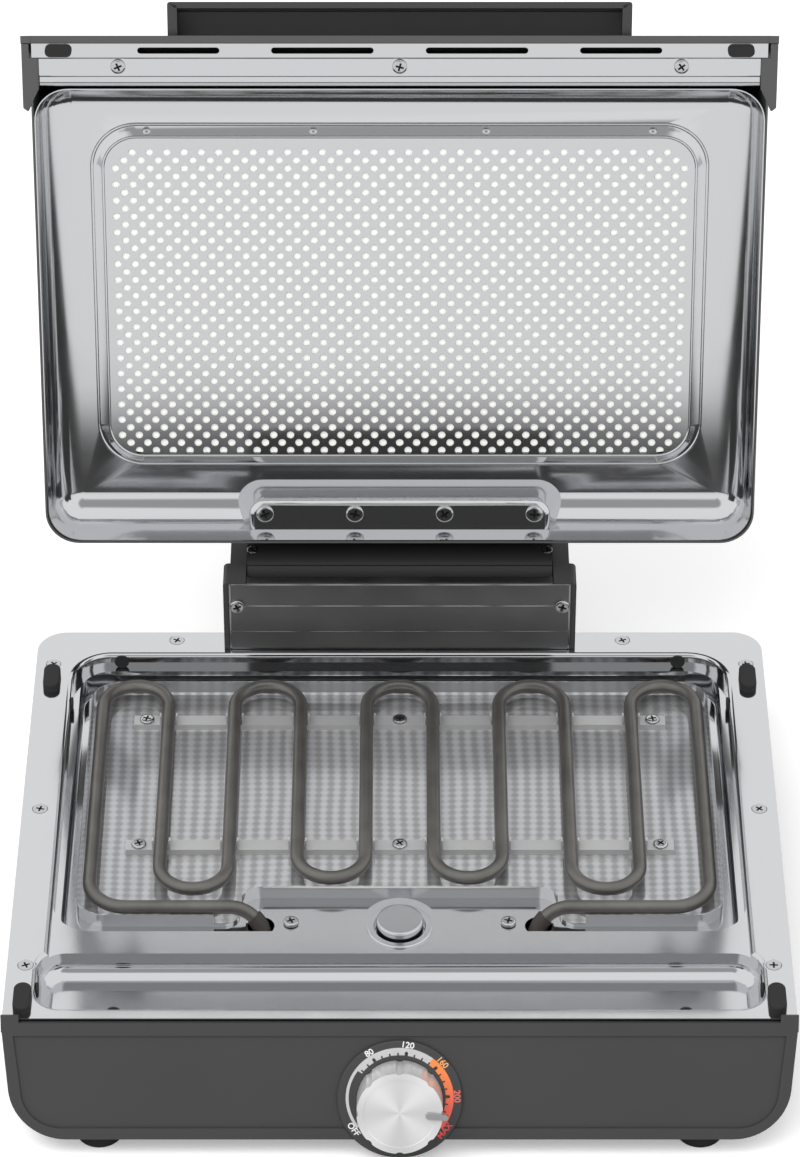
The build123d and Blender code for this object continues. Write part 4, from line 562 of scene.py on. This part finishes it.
cool_band = bmesh.new()
arc_band(cool_band, LINE_IN, BAND_OUT, OFF_AT, BAND_AT)
arc_band(cool_band, BAND_IN, BAND_OUT, BAND_AT, HOT_AT)
add_piece("dial_scale_cool", finish_print(cool_band), "base",
          printing_ink("printed_light_grey", "BEBEBE"))
hot_band = bmesh.new()
arc_band(hot_band, BAND_IN, BAND_OUT, HOT_AT, MAX_AT)
add_piece("dial_scale_hot", finish_print(hot_band), "base",
          printing_ink("printed_orange_red", "EE8A45", "E25C4C"))
FIRST_NOTCH, LAST_NOTCH, NOTCH_STEP = -28, 142, 10
AT_80, AT_120, AT_160, AT_200 = 122, 82, 42, 2
notches = bmesh.new()
for degree in range(FIRST_NOTCH, LAST_NOTCH + 1, NOTCH_STEP):
    if degree in (AT_80, AT_120, AT_160, AT_200):
        notch(notches, degree, width=0.0016, depth=0.0022)
    else:
        notch(notches, degree, width=0.0008, depth=0.0014)
add_piece("dial_scale_notches", finish_print(notches), "base", dial_abs)


def drawn_out(name, curve):
    """Shape of a text or a curve with its thickness, as Blender draws it out."""
    drawn = new_object(name, curve)
    bpy.context.view_layer.update()
    mesh = bpy.data.meshes.new_from_object(drawn.evaluated_get(bpy.context.evaluated_depsgraph_get()))
    bpy.data.objects.remove(drawn)
    shape = bmesh.new()
    shape.from_mesh(mesh)
    return shape


COOL_INK = "E6E6E6"
LABELS = (("OFF", 216, COOL_INK, True), ("80", AT_80, COOL_INK, False), ("120", AT_120, COOL_INK, False),
          ("160", AT_160, "F2A864", False), ("200", AT_200, "E36A5A", False), ("MAX", MAX_AT, "E04A46", True))
LABEL_AT, LABEL_SIZE, LABEL_BOLD = 0.0288, 0.0045, 0.00008
for words, angle, colour, inward in LABELS:      # inward: the words' feet point outwards
    letters = bpy.data.curves.new("dial_label_" + words, "FONT")
    letters.body = words
    letters.size = LABEL_SIZE
    letters.align_x = "CENTER"
    letters.align_y = "CENTER"
    letters.offset = LABEL_BOLD
    letters.extrude = INK_THICK
    turn = radians(angle)
    stand = Matrix.Translation((LABEL_AT * cos(turn), LABEL_AT * sin(turn) + SCALE_RISE,
                                DIAL_THICK + INK_THICK))
    lean = Matrix.Rotation(turn + (pi / 2 if inward else -pi / 2), 4, "Z")
    printed = drawn_out("label_" + words, letters)
    bmesh.ops.transform(printed, matrix=dial_place @ stand @ lean, verts=printed.verts)
    add_piece("dial_label_" + words.lower(), printed, "base",
              printing_ink("printed_label_" + words.lower(), colour))

# ---------------------------------------------------------------- knob
# Turned aluminium cap: the face is spun, with fine rings, and a painted sheen lies on it in soft light and
# dark wedges from the centre; the side wall is polished bright enough to mirror the scale behind it.
SHEEN_WEDGES, GROOVES_PER_M, GROOVE_DEPTH = 4.0, 9000.0, 0.00005


def spun_face():
    """Aluminium turned on a lathe: fine rings, and a painted sheen in light and dark wedges from the centre.
    """
    material, tree, shader, place = new_material("spun_aluminium")
    turned = add_node(tree, "ShaderNodeMapping", {"vector_type": "TEXTURE", "Location": knob_joint["pos_m"],
                                                  "Rotation": dial_place.to_euler()},
                      {"Vector": place})
    flat = add_node(tree, "ShaderNodeSeparateXYZ", links={0: turned.outputs[0]})
    angle = add_node(tree, "ShaderNodeMath", {"operation": "ARCTAN2"},
                     {0: flat.outputs["Y"], 1: flat.outputs["X"]})
    round_face = add_node(tree, "ShaderNodeMath", {"operation": "MULTIPLY", 1: SHEEN_WEDGES},
                          {0: angle.outputs[0]})
    sheen_wedge = add_node(tree, "ShaderNodeMath", {"operation": "COSINE"}, {0: round_face.outputs[0]})
    tint = add_node(tree, "ShaderNodeMapRange", {"From Min": -1.0, "To Min": 0.0, "To Max": 1.0},
                    {"Value": sheen_wedge.outputs[0]})
    # painted sheen: the base colour turns lighter and darker in wedges round the centre
    colour = add_node(tree, "ShaderNodeMix", {"data_type": "RGBA", 6: linear("FAFAFA"), 7: linear("E6E6E7")},
                      {0: tint.outputs[0]})
    radius = add_node(tree, "ShaderNodeVectorMath", {"operation": "LENGTH"}, {0: turned.outputs[0]})
    rings = add_node(tree, "ShaderNodeMath", {"operation": "MULTIPLY", 1: GROOVES_PER_M},
                     {0: radius.outputs["Value"]})
    wave = add_node(tree, "ShaderNodeMath", {"operation": "SINE"}, {0: rings.outputs[0]})
    bump = add_node(tree, "ShaderNodeBump", {"Strength": 0.05, "Distance": GROOVE_DEPTH},
                    {"Height": wave.outputs[0]})
    shader.inputs["Metallic"].default_value = 0.68
    shader.inputs["Roughness"].default_value = 0.35
    tree.links.new(colour.outputs[2], shader.inputs["Base Color"])
    tree.links.new(bump.outputs[0], shader.inputs["Normal"])
    return material


dress(spun_face(), "knob")
dress(polished_steel("polished_aluminium", "C4C5C7", 0.3), "knob_pointer")

# ---------------------------------------------------------------- hinge arm
# Moulded glass-filled nylon, almost black and slightly glossy. It carries the lid on its
# two pins, and the lid's pocket is screwed down to it.
arm_nylon = moulded_abs("glass_filled_nylon", "2E2E2E", 0.4)
dress(arm_nylon, "hinge_arm")

# ---------------------------------------------------------------- lid shell, fascia, caps, handle
# The shell is deep-drawn steel in dark heat-proof paint, a little grainy. The trim along its
# front is the same ABS as the front panel. In the photograph all of it leans back, so these
# pieces stand in for the upright ones of the solids.
shell_paint = moulded_abs("heatproof_paint", "4E4E4E", 0.5, grain=0.2)
trim_abs = moulded_abs("moulded_abs_trim", "4E4E4E", 0.42)
handle_abs = moulded_abs("moulded_abs_handle", "3A3A3A", 0.45)
RAKE = 0.5              # the lid's front leans back by this much for its height
RIM, FRONT_RUN, RUN_END = 0.005, 0.02, 0.135        # the lean starts at the rim and fades out backwards
CREASE = radians(35)


def lean_back(shape):
    """Leans a closed lid's part back from its rim upwards, opens it, and marks its real edges."""
    for vert in shape.verts:
        fade = min(1.0, max(0.0, (RUN_END - vert.co.y) / (RUN_END - FRONT_RUN)))
        vert.co.y += RAKE * max(0.0, vert.co.z - RIM) * fade
    bmesh.ops.transform(shape, matrix=lid_place, verts=shape.verts)
    bmesh.ops.recalc_face_normals(shape, faces=shape.faces)
    for face in shape.faces:
        face.smooth = True
    for edge in shape.edges:
        edge.smooth = len(edge.link_faces) == 2 and edge.calc_face_angle(0) < CREASE


def lid_piece(node, shape, material):
    """Lid part with the leaning front, in place of its plain CAD node."""
    lean_back(shape)
    piece = add_piece(node + "_raked", shape, "lid", material)
    piece.modifiers.new("flats", "WEIGHTED_NORMAL").keep_sharp = True
    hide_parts(node)


def cad_copy(node):
    """Mesh of a CAD node in the closed lid's own measures: across, back and up."""
    shape = bmesh.new()
    shape.from_mesh(nodes[node].data)
    bmesh.ops.transform(shape, matrix=lid_place.inverted(), verts=shape.verts)
    bmesh.ops.remove_doubles(shape, verts=shape.verts, dist=WELD_GAP)
    return shape


lid_piece("lid_shell", cad_copy("lid_shell"), shell_paint)
lid_piece("lid_fascia", cad_copy("lid_fascia"), trim_abs)

# the handle is a shallow scoop, open below, with thin walls; its outer front corners are rounded,
# and the scoop's own corners come out so tight that they look sharp
HANDLE_HALF, HANDLE_FRONT, HANDLE_BACK = 0.12, -0.0148, 0.004
HANDLE_LOW, HANDLE_HIGH, SCOOP = 0.008, 0.034, 0.013
FRONT_WALL, END_WALL, BACK_WALL = 0.0034, 0.005, 0.0006
HANDLE_ROUND, SCOOP_ROUND = 0.0015, 0.004


def is_upright(edge):
    """Whether an edge of the handle stands up along the scoop's depth."""
    return abs(edge.verts[0].co.z - edge.verts[1].co.z) > SCOOP * 0.8


handle = bmesh.new()
block(handle, (-HANDLE_HALF, HANDLE_FRONT, HANDLE_LOW), (HANDLE_HALF, HANDLE_BACK, HANDLE_HIGH))
front_corners = [e for e in handle.edges if is_upright(e) and e.verts[0].co.y < 0]
bmesh.ops.bevel(handle, geom=front_corners, offset=HANDLE_ROUND, segments=3, profile=0.5, affect="EDGES",
                material=-1)
mouth = min(handle.faces, key=lambda face: face.calc_center_median().z)
bmesh.ops.inset_region(handle, faces=[mouth], thickness=FRONT_WALL, use_even_offset=True)
for vert in mouth.verts:
    if vert.co.y > 0:
        vert.co.y = HANDLE_BACK - BACK_WALL
    if abs(vert.co.x) > HANDLE_HALF - END_WALL - HANDLE_ROUND / 2:
        vert.co.x *= (HANDLE_HALF - END_WALL) / (HANDLE_HALF - FRONT_WALL)
bottom = bmesh.ops.extrude_discrete_faces(handle, faces=[mouth])["faces"][0]
bmesh.ops.translate(handle, verts=bottom.verts, vec=(0, 0, SCOOP))
inner_corners = {e for v in bottom.verts for e in v.link_edges if is_upright(e) and v.co.y < 0}
bmesh.ops.bevel(handle, geom=list(inner_corners), offset=SCOOP_ROUND, segments=4, profile=0.5, affect="EDGES",
                material=-1)
lid_piece("lid_handle", handle, handle_abs)

# corner caps: a narrow plate that tapers off along the rim, and a cheek up the lid's side
CAP_OUT, CAP_IN, CHEEK_IN = 0.1958, 0.1872, 0.1918
CAP_FRONT, CAP_STEP, CAP_TAPER, CAP_END, CAP_THICK = 0.0083, 0.0162, 0.033, 0.0455, 0.0025
CHEEK_LOW, CHEEK_HIGH, CHEEK_END = RIM + 0.0024, 0.041, 0.036
CAP_EDGE, CAP_CLIP, CAP_SLANT = 0.0006, 0.002, 0.0014       # rounded rims, and the cut rear corner
for side, node in ((-1, "lid_end_cap_left"), (1, "lid_end_cap_right")):
    cap = bmesh.new()
    outline = [(CAP_OUT, CAP_FRONT), (CAP_OUT, CAP_END - CAP_CLIP), (CHEEK_IN + CAP_SLANT, CAP_END),
               (CAP_IN, CAP_TAPER), (CAP_IN, CAP_STEP), (CHEEK_IN, CAP_STEP), (CHEEK_IN, CAP_FRONT)]
    corners = [cap.verts.new((side * x, y, RIM)) for x, y in outline]
    plate = bmesh.ops.contextual_create(cap, geom=corners)["faces"]
    raised = bmesh.ops.extrude_face_region(cap, geom=plate)["geom"]
    bmesh.ops.translate(cap, verts=verts_in(raised), vec=(0, 0, CAP_THICK))
    inside, outside = sorted((side * CHEEK_IN, side * CAP_OUT))
    block(cap, (inside, CAP_FRONT, CHEEK_LOW), (outside, CHEEK_END, CHEEK_HIGH))
    rims = [e for e in cap.edges if e.calc_face_angle(0) > radians(30)]
    bmesh.ops.bevel(cap, geom=rims, offset=CAP_EDGE, segments=2, profile=0.5, affect="EDGES", material=-1)
    lid_piece(node, cap, trim_abs)

# ---------------------------------------------------------------- front strip
# Two stepped bands of the mirror steel, screwed under the lid's front. Each step is
# folded to a half-round bead that draws a dark and a bright line along it.
BEAD_RADIUS = 0.0011
BEADS = ((0.0158, 0.0061, 0.1895), (0.0264, 0.0081, 0.1868), (0.0318, 0.0090, 0.1868))  # back, up, half
STRIP_END, CAP_EDGE_HALF = 0.1805, 0.187
END_PLATES = ((0.0165, 0.0262, 0.0066, 0.0072), (0.0268, 0.0325, 0.009, 0.0096))    # front, rear, low, high
dress(mirror_steel, "lid_front_strip")
edging = bmesh.new()
for back, up, half in BEADS:
    rod_across(edging, BEAD_RADIUS, half, back, up)
for side in (-1, 1):
    inside, outside = sorted((side * STRIP_END, side * CAP_EDGE_HALF))
    for front, rear, low, high in END_PLATES:
        block(edging, (inside, front, low), (outside, rear, high))
for face in edging.faces:
    face.smooth = len(face.verts) == 4
for edge in edging.edges:
    edge.smooth = edge.calc_face_angle(0) < CREASE
bmesh.ops.transform(edging, matrix=lid_place, verts=edging.verts)
add_piece("lid_strip_edging", edging, "lid", mirror_steel)

# ---------------------------------------------------------------- filter pad
# Needled white fibre behind the perforated field, held between liner and shell. It is
# matt, and shows through every hole.
FIBRE_MM = 1.1111       # far thicker than a real fibre, to show in the render


def needled_fibre():
    """White felt of tangled fibres."""
    material, tree, shader, place = new_material("needled_fibre")
    fibres = add_node(tree, "ShaderNodeTexNoise",
                      {"Scale": 1000 / FIBRE_MM, "Detail": 8.0, "Distortion": 1.5}, {"Vector": place})
    tint = add_node(tree, "ShaderNodeMix", {"data_type": "RGBA", 6: linear("E6E5E0"), 7: linear("FAFAF7")},
                    {0: fibres.outputs["Fac"]})
    bump = add_node(tree, "ShaderNodeBump", {"Strength": 0.4, "Distance": 0.0004},
                    {"Height": fibres.outputs["Fac"]})
    shader.inputs["Roughness"].default_value = 0.95
    tree.links.new(tint.outputs[2], shader.inputs["Base Color"])
    tree.links.new(bump.outputs[0], shader.inputs["Normal"])
    return material


dress(needled_fibre(), "filter_pad")

# ---------------------------------------------------------------- lid liner
# Drawn from the same mirror steel. Its raised field is punched with staggered rows of
# round holes, which the press leaves with a crisp edge and the sheet's thickness inside.
FIELD_UP, SHEET = 0.0267, 0.0006
FIELD_WIDE, FIELD_FRONT, FIELD_REAR, FIELD_CORNER = 0.1560, 0.0681, 0.2503, 0.0173
FIRST_ROW, LAST_ROW, ROWS = 0.076, 0.2475, 39
HOLE_ACROSS, HOLE_BACK, HOLE_RADIUS = 0.0091, (LAST_ROW - FIRST_ROW) / (ROWS - 1), 0.0021
HOLE_SIDES = 12
LONG_ROW, SHORT_ROW, END_ROW = 34, 33, 32       # holes in a row; the first and last rows are shorter


def hole_cell():
    """One round hole with its wall, in a diamond of sheet that fits its staggered neighbours."""
    cell = bmesh.new()
    start = Matrix.Translation((0, 0, FIELD_UP))
    ring = bmesh.ops.create_circle(cell, cap_ends=False, segments=HOLE_SIDES, radius=HOLE_RADIUS,
                                   matrix=start)["verts"]
    loop = list({edge for vert in ring for edge in vert.link_edges})
    wall = bmesh.ops.extrude_edge_only(cell, edges=loop)["geom"]
    upper = verts_in(wall)
    bmesh.ops.translate(cell, verts=upper, vec=(0, 0, SHEET))
    for edges in (loop, edges_between(wall, upper)):
        spread = bmesh.ops.extrude_edge_only(cell, edges=edges)["geom"]
        for vert in verts_in(spread):
            across, back = abs(vert.co.x), abs(vert.co.y)
            share = across + back
            vert.co.x *= HOLE_ACROSS / 2 / share
            vert.co.y *= HOLE_BACK / share
    bmesh.ops.recalc_face_normals(cell, faces=cell.faces)
    if max(cell.faces, key=lambda f: f.calc_center_median().z).normal.z < 0:
        bmesh.ops.reverse_faces(cell, faces=cell.faces)
    return mesh_of(cell, "hole_cell")


def keep_inside(vert):
    """Draws an outer point of the punched sheet back inside the flat field's round corners."""
    middle, half = (FIELD_FRONT + FIELD_REAR) / 2, (FIELD_REAR - FIELD_FRONT) / 2
    vert.co.x = max(-FIELD_WIDE, min(FIELD_WIDE, vert.co.x))
    vert.co.y = max(FIELD_FRONT, min(FIELD_REAR, vert.co.y))
    over = Vector((abs(vert.co.x) - FIELD_WIDE + FIELD_CORNER, abs(vert.co.y - middle) - half + FIELD_CORNER))
    if over.x > 0 and over.y > 0 and over.length > FIELD_CORNER:
        pull = over * (1 - FIELD_CORNER / over.length)
        vert.co.x -= pull.x if vert.co.x > 0 else -pull.x
        vert.co.y -= pull.y if vert.co.y > middle else -pull.y


cell = hole_cell()
field = bmesh.new()
for row in range(ROWS):
    holes = SHORT_ROW if row % 2 else END_ROW if row in (0, ROWS - 1) else LONG_ROW
    for number in range(holes):
        placed = cell.copy()
        placed.transform(Matrix.Translation(((number - (holes - 1) / 2) * HOLE_ACROSS,
                                             FIRST_ROW + row * HOLE_BACK, 0)))
        field.from_mesh(placed)
        bpy.data.meshes.remove(placed)
bpy.data.meshes.remove(cell)
bmesh.ops.remove_doubles(field, verts=field.verts, dist=2 * WELD_GAP)
for vert in {v for e in field.edges if len(e.link_faces) == 1 for v in e.verts}:
    keep_inside(vert)
field_mesh = mesh_of(field, "field")

# the drawn sheet with its flat field taken out, and the punched one let in
LEVELS = (FIELD_UP, FIELD_UP + SHEET)
LEVEL_SLACK, OUTLINE_SLACK = 0.00005, 0.002
liner = cad_copy("lid_liner")


def at_level(vert, level):
    """Whether a point lies in the field's plane and inside its outline."""
    within = FIELD_FRONT - OUTLINE_SLACK < vert.co.y < FIELD_REAR + OUTLINE_SLACK
    return within and abs(vert.co.x) < FIELD_WIDE + OUTLINE_SLACK and abs(vert.co.z - level) < LEVEL_SLACK


flats = [f for f in liner.faces if any(all(at_level(v, level) for v in f.verts) for level in LEVELS)]
bmesh.ops.delete(liner, geom=flats, context="FACES")
for edge in liner.edges:
    edge.smooth = len(edge.link_faces) == 2 and edge.calc_face_angle(0) < CREASE
liner.from_mesh(field_mesh)
bpy.data.meshes.remove(field_mesh)
for level, up in zip(LEVELS, (-1, 1)):
    rims = [e for e in liner.edges if len(e.link_faces) == 1 and all(at_level(v, level) for v in e.verts)]
    filled = bmesh.ops.triangle_fill(liner, use_beauty=True, edges=rims, normal=(0, 0, up))["geom"]
    for face in (g for g in filled if isinstance(g, bmesh.types.BMFace)):
        if face.normal.z * up < 0:
            face.normal_flip()
bmesh.ops.remove_doubles(liner, verts=liner.verts, dist=WELD_GAP / 2)
for face in liner.faces:
    face.smooth = True
for edge in liner.edges:
    edge.smooth = edge.smooth and len(edge.link_faces) == 2 and edge.calc_face_angle(0) < CREASE
bmesh.ops.transform(liner, matrix=lid_place, verts=liner.verts)
lid_steel = polished_steel("mirror_buffed_lid_steel", STEEL, 0.1, wave=0.1)
perforated = add_piece("lid_liner_perforated", liner, "lid", lid_steel)
perforated.modifiers.new("flats", "WEIGHTED_NORMAL").keep_sharp = True
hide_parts("lid_liner")


def rounded_bead(name, outside, up, radius):
    """Half-round crease pressed around the field, at a distance outside it and a height above it."""
    front, rear = FIELD_FRONT - outside, FIELD_REAR + outside
    outline = bmesh.new()
    bmesh.ops.create_grid(outline, x_segments=1, y_segments=1, size=0.5,
                          matrix=Matrix.Translation((0, (front + rear) / 2, FIELD_UP + up))
                          @ Matrix.Diagonal((2 * (FIELD_WIDE + outside), rear - front, 1, 1)))
    bmesh.ops.bevel(outline, geom=outline.verts[:], offset=FIELD_CORNER + outside, segments=14, profile=0.5,
                    affect="VERTICES", material=-1)
    path = [vert.co.copy() for vert in max(outline.faces, key=lambda f: f.calc_area()).verts]
    outline.free()
    drawn = bpy.data.curves.new(name, "CURVE")
    drawn.dimensions = "3D"
    drawn.bevel_depth = radius
    drawn.bevel_resolution = 3
    spline = drawn.splines.new("POLY")
    spline.points.add(len(path) - 1)
    for point, co in zip(spline.points, path):
        point.co = (*co, 1)
    spline.use_cyclic_u = True
    bead = drawn_out(name, drawn)
    bmesh.ops.transform(bead, matrix=lid_place, verts=bead.verts)
    for face in bead.faces:
        face.smooth = True
    add_piece(name, bead, "lid", lid_steel)


rounded_bead("field_outer_crease", outside=0.0066, up=0.0034, radius=0.0010)
rounded_bead("field_inner_crease", outside=0.0006, up=0.0003, radius=0.0008)

# four small rivets in the field's front slope
RIVET_BACK, RIVET_UP, SLOPE, RIVET_RADIUS, RIVET_FLAT = 0.0646, 0.0282, radians(-26), 0.0023, 0.4
rivets = bmesh.new()
for x in (-0.1333, -0.0455, 0.0455, 0.1333):
    lie = (Matrix.Translation((x, RIVET_BACK, RIVET_UP)) @ Matrix.Rotation(SLOPE, 4, "X")
           @ Matrix.Diagonal((1, 1, RIVET_FLAT, 1)))
    bmesh.ops.create_uvsphere(rivets, u_segments=20, v_segments=10, radius=RIVET_RADIUS, matrix=lie)
for face in rivets.faces:
    face.smooth = True
bmesh.ops.transform(rivets, matrix=lid_place, verts=rivets.verts)
add_piece("field_rivets", rivets, "lid", zinc_steel)

# ---------------------------------------------------------------- floor, light and camera
# A plain pale studio: seamless white table, one broad soft lamp above and in front.
# The polished steel sees a painted reflection of the table, which glows dark close by and bright far off, and
# the dim room in front of the set.
NEAR_TABLE, FAR_TABLE, NEAR_TONE, FAR_TONE = 0.78, 0.96, 0.05, 0.95
TABLE_WHITE, TABLE_ROUGHNESS, TABLE_GLOW = 0.86, 0.9, 0.3


def show_in_shader_output(tree, shown):
    """Puts a mixed shader on the material's output in place of the plain one."""
    output = next(n for n in tree.nodes if n.bl_idname == "ShaderNodeOutputMaterial")
    tree.links.new(shown.outputs[0], output.inputs["Surface"])


def studio_floor():
    """White table as the camera sees it; as the steel mirrors it, a painted reflection that glows dark close
    by and bright far off.
    """
    material, tree, shader, place = new_material("white_table")
    shader.inputs["Base Color"].default_value = (TABLE_WHITE, TABLE_WHITE, TABLE_WHITE, 1)
    shader.inputs["Roughness"].default_value = TABLE_ROUGHNESS
    shader.inputs["Specular IOR Level"].default_value = 0.0
    rays = add_node(tree, "ShaderNodeLightPath")
    glow = add_node(tree, "ShaderNodeMath", {"operation": "MULTIPLY", 1: TABLE_GLOW},
                    {0: rays.outputs["Is Camera Ray"]})
    shader.inputs["Emission Color"].default_value = (1, 1, 1, 1)
    tree.links.new(glow.outputs[0], shader.inputs["Emission Strength"])
    away = add_node(tree, "ShaderNodeVectorMath", {"operation": "LENGTH"}, {0: place})
    far = add_node(tree, "ShaderNodeMapRange",
                   {"interpolation_type": "SMOOTHSTEP", "From Min": NEAR_TABLE, "From Max": FAR_TABLE,
                    "To Min": NEAR_TONE, "To Max": FAR_TONE},
                   {"Value": away.outputs["Value"]})
    table_painted_reflection = add_node(tree, "ShaderNodeEmission", links={"Strength": far.outputs[0]})
    show_in_shader_output(tree, add_node(tree, "ShaderNodeMixShader", links={
        0: rays.outputs["Is Glossy Ray"], 1: shader.outputs[0], 2: table_painted_reflection.outputs[0]}))
    return material


TABLE_HALF = 12.0
table = bmesh.new()
bmesh.ops.create_grid(table, x_segments=1, y_segments=1, size=TABLE_HALF)
table_mesh = mesh_of(table, "studio_table")
table_mesh.materials.append(studio_floor())
studio_table = new_object("studio_table", table_mesh)

# two upright glowing cards over the well, seen by mirrored rays alone, that paint reflections: the lid's
# lower end mirrors the dark one, from behind, and the deck's front edge mirrors the white one, from the front
CARD_BACK = 0.235


def studio_card(name, half, low, high, tone, from_behind):
    """Upright one-sided glowing card across the grill, seen by mirrored rays alone: a painted reflection."""
    card = bmesh.new()
    bmesh.ops.create_grid(card, x_segments=1, y_segments=1, size=0.5, matrix=deck_place
                          @ Matrix.Translation((0, CARD_BACK, (low + high) / 2))
                          @ Matrix.Diagonal((2 * half, 1, high - low, 1)) @ facing_front)
    mesh = mesh_of(card, name)
    material, tree = new_material(name)[:2]
    seen_back = add_node(tree, "ShaderNodeNewGeometry").outputs["Backfacing"]
    clear = add_node(tree, "ShaderNodeBsdfTransparent").outputs[0]
    glow = add_node(tree, "ShaderNodeEmission", {"Strength": tone}).outputs[0]
    faces = (clear, glow) if from_behind else (glow, clear)
    show_in_shader_output(tree, add_node(tree, "ShaderNodeMixShader", links={
        0: seen_back, 1: faces[0], 2: faces[1]}))
    mesh.materials.append(material)
    shown = new_object(name, mesh)
    for sight in ("visible_camera", "visible_diffuse", "visible_shadow", "visible_transmission"):
        setattr(shown, sight, False)


studio_card("dark_card", half=0.086, low=0.012, high=0.105, tone=0.05, from_behind=True)
studio_card("white_card", half=0.21, low=0.207, high=0.2235, tone=1.0, from_behind=False)

# the room: even light all round, with a dim patch in front that only mirrored rays see
ROOM_DIRECTION, PATCH_EDGE, PATCH_FULL, PATCH_TONE = (0.0, -0.83, 0.56), 0.93, 0.98, 0.42
ROOM_LIGHT, SEEN_WHITE = 0.85, 1.0
world = bpy.data.worlds.new("soft_room")
world.use_nodes = True
room = world.node_tree
room.nodes.clear()
rays = add_node(room, "ShaderNodeLightPath")
way = add_node(room, "ShaderNodeTexCoord").outputs["Generated"]
facing = add_node(room, "ShaderNodeVectorMath", {"operation": "DOT_PRODUCT", 1: ROOM_DIRECTION}, {0: way})
dusk = add_node(room, "ShaderNodeMapRange",
                {"interpolation_type": "SMOOTHSTEP", "From Min": PATCH_EDGE, "From Max": PATCH_FULL,
                 "To Min": SEEN_WHITE, "To Max": PATCH_TONE},
                {"Value": facing.outputs["Value"]})
plain = add_node(room, "ShaderNodeMapRange", {"To Min": ROOM_LIGHT, "To Max": SEEN_WHITE},
                 {"Value": rays.outputs["Is Camera Ray"]})
seen = add_node(room, "ShaderNodeMix", {"data_type": "FLOAT"},
                {0: rays.outputs["Is Glossy Ray"], 2: plain.outputs[0], 3: dusk.outputs[0]})
sky = add_node(room, "ShaderNodeBackground", {"Color": (1, 1, 1, 1)}, {"Strength": seen.outputs[0]})
add_node(room, "ShaderNodeOutputWorld", links={"Surface": sky.outputs[0]})
bpy.context.scene.world = world

LAMP_WIDE, LAMP_HIGH, LAMP_WATTS = 1.8, 1.2, 30.0
LAMP_PLACE, LAMP_AIM = (-0.5, -0.9, 1.9), Vector((0, 0, 0.15))
lamp = bpy.data.lights.new("softbox", "AREA")
lamp.shape = "RECTANGLE"
lamp.size, lamp.size_y = LAMP_WIDE, LAMP_HIGH
lamp.energy = LAMP_WATTS
softbox = new_object("softbox", lamp)
softbox.location = LAMP_PLACE
softbox.rotation_euler = (LAMP_AIM - softbox.location).to_track_quat("-Z", "Y").to_euler()
softbox.visible_glossy = False

# a long lens from far away and above, fitted to the corners of the deck, panel and open lid
PHOTO_HEIGHT, FOCAL_PX = 1157, 4762     # pixels
VIEW_DOWN = radians(37.4)
EYE_ACROSS, EYE_BEFORE, EYE_ABOVE = 0.00015, 1.7622, 1.6249     # from the deck's front edge and top
eye = bpy.data.cameras.new("photo_view")
eye.sensor_width = 36.0
eye.lens = FOCAL_PX * eye.sensor_width / PHOTO_HEIGHT
eye.clip_end = 50.0
camera = new_object("photo_view", eye)
camera.location = (EYE_ACROSS, deck_front - EYE_BEFORE, deck_top + EYE_ABOVE)
camera.rotation_euler = (pi / 2 - VIEW_DOWN, 0, 0)
bpy.context.scene.camera = camera
bpy.context.scene.view_settings.view_transform = "Standard"
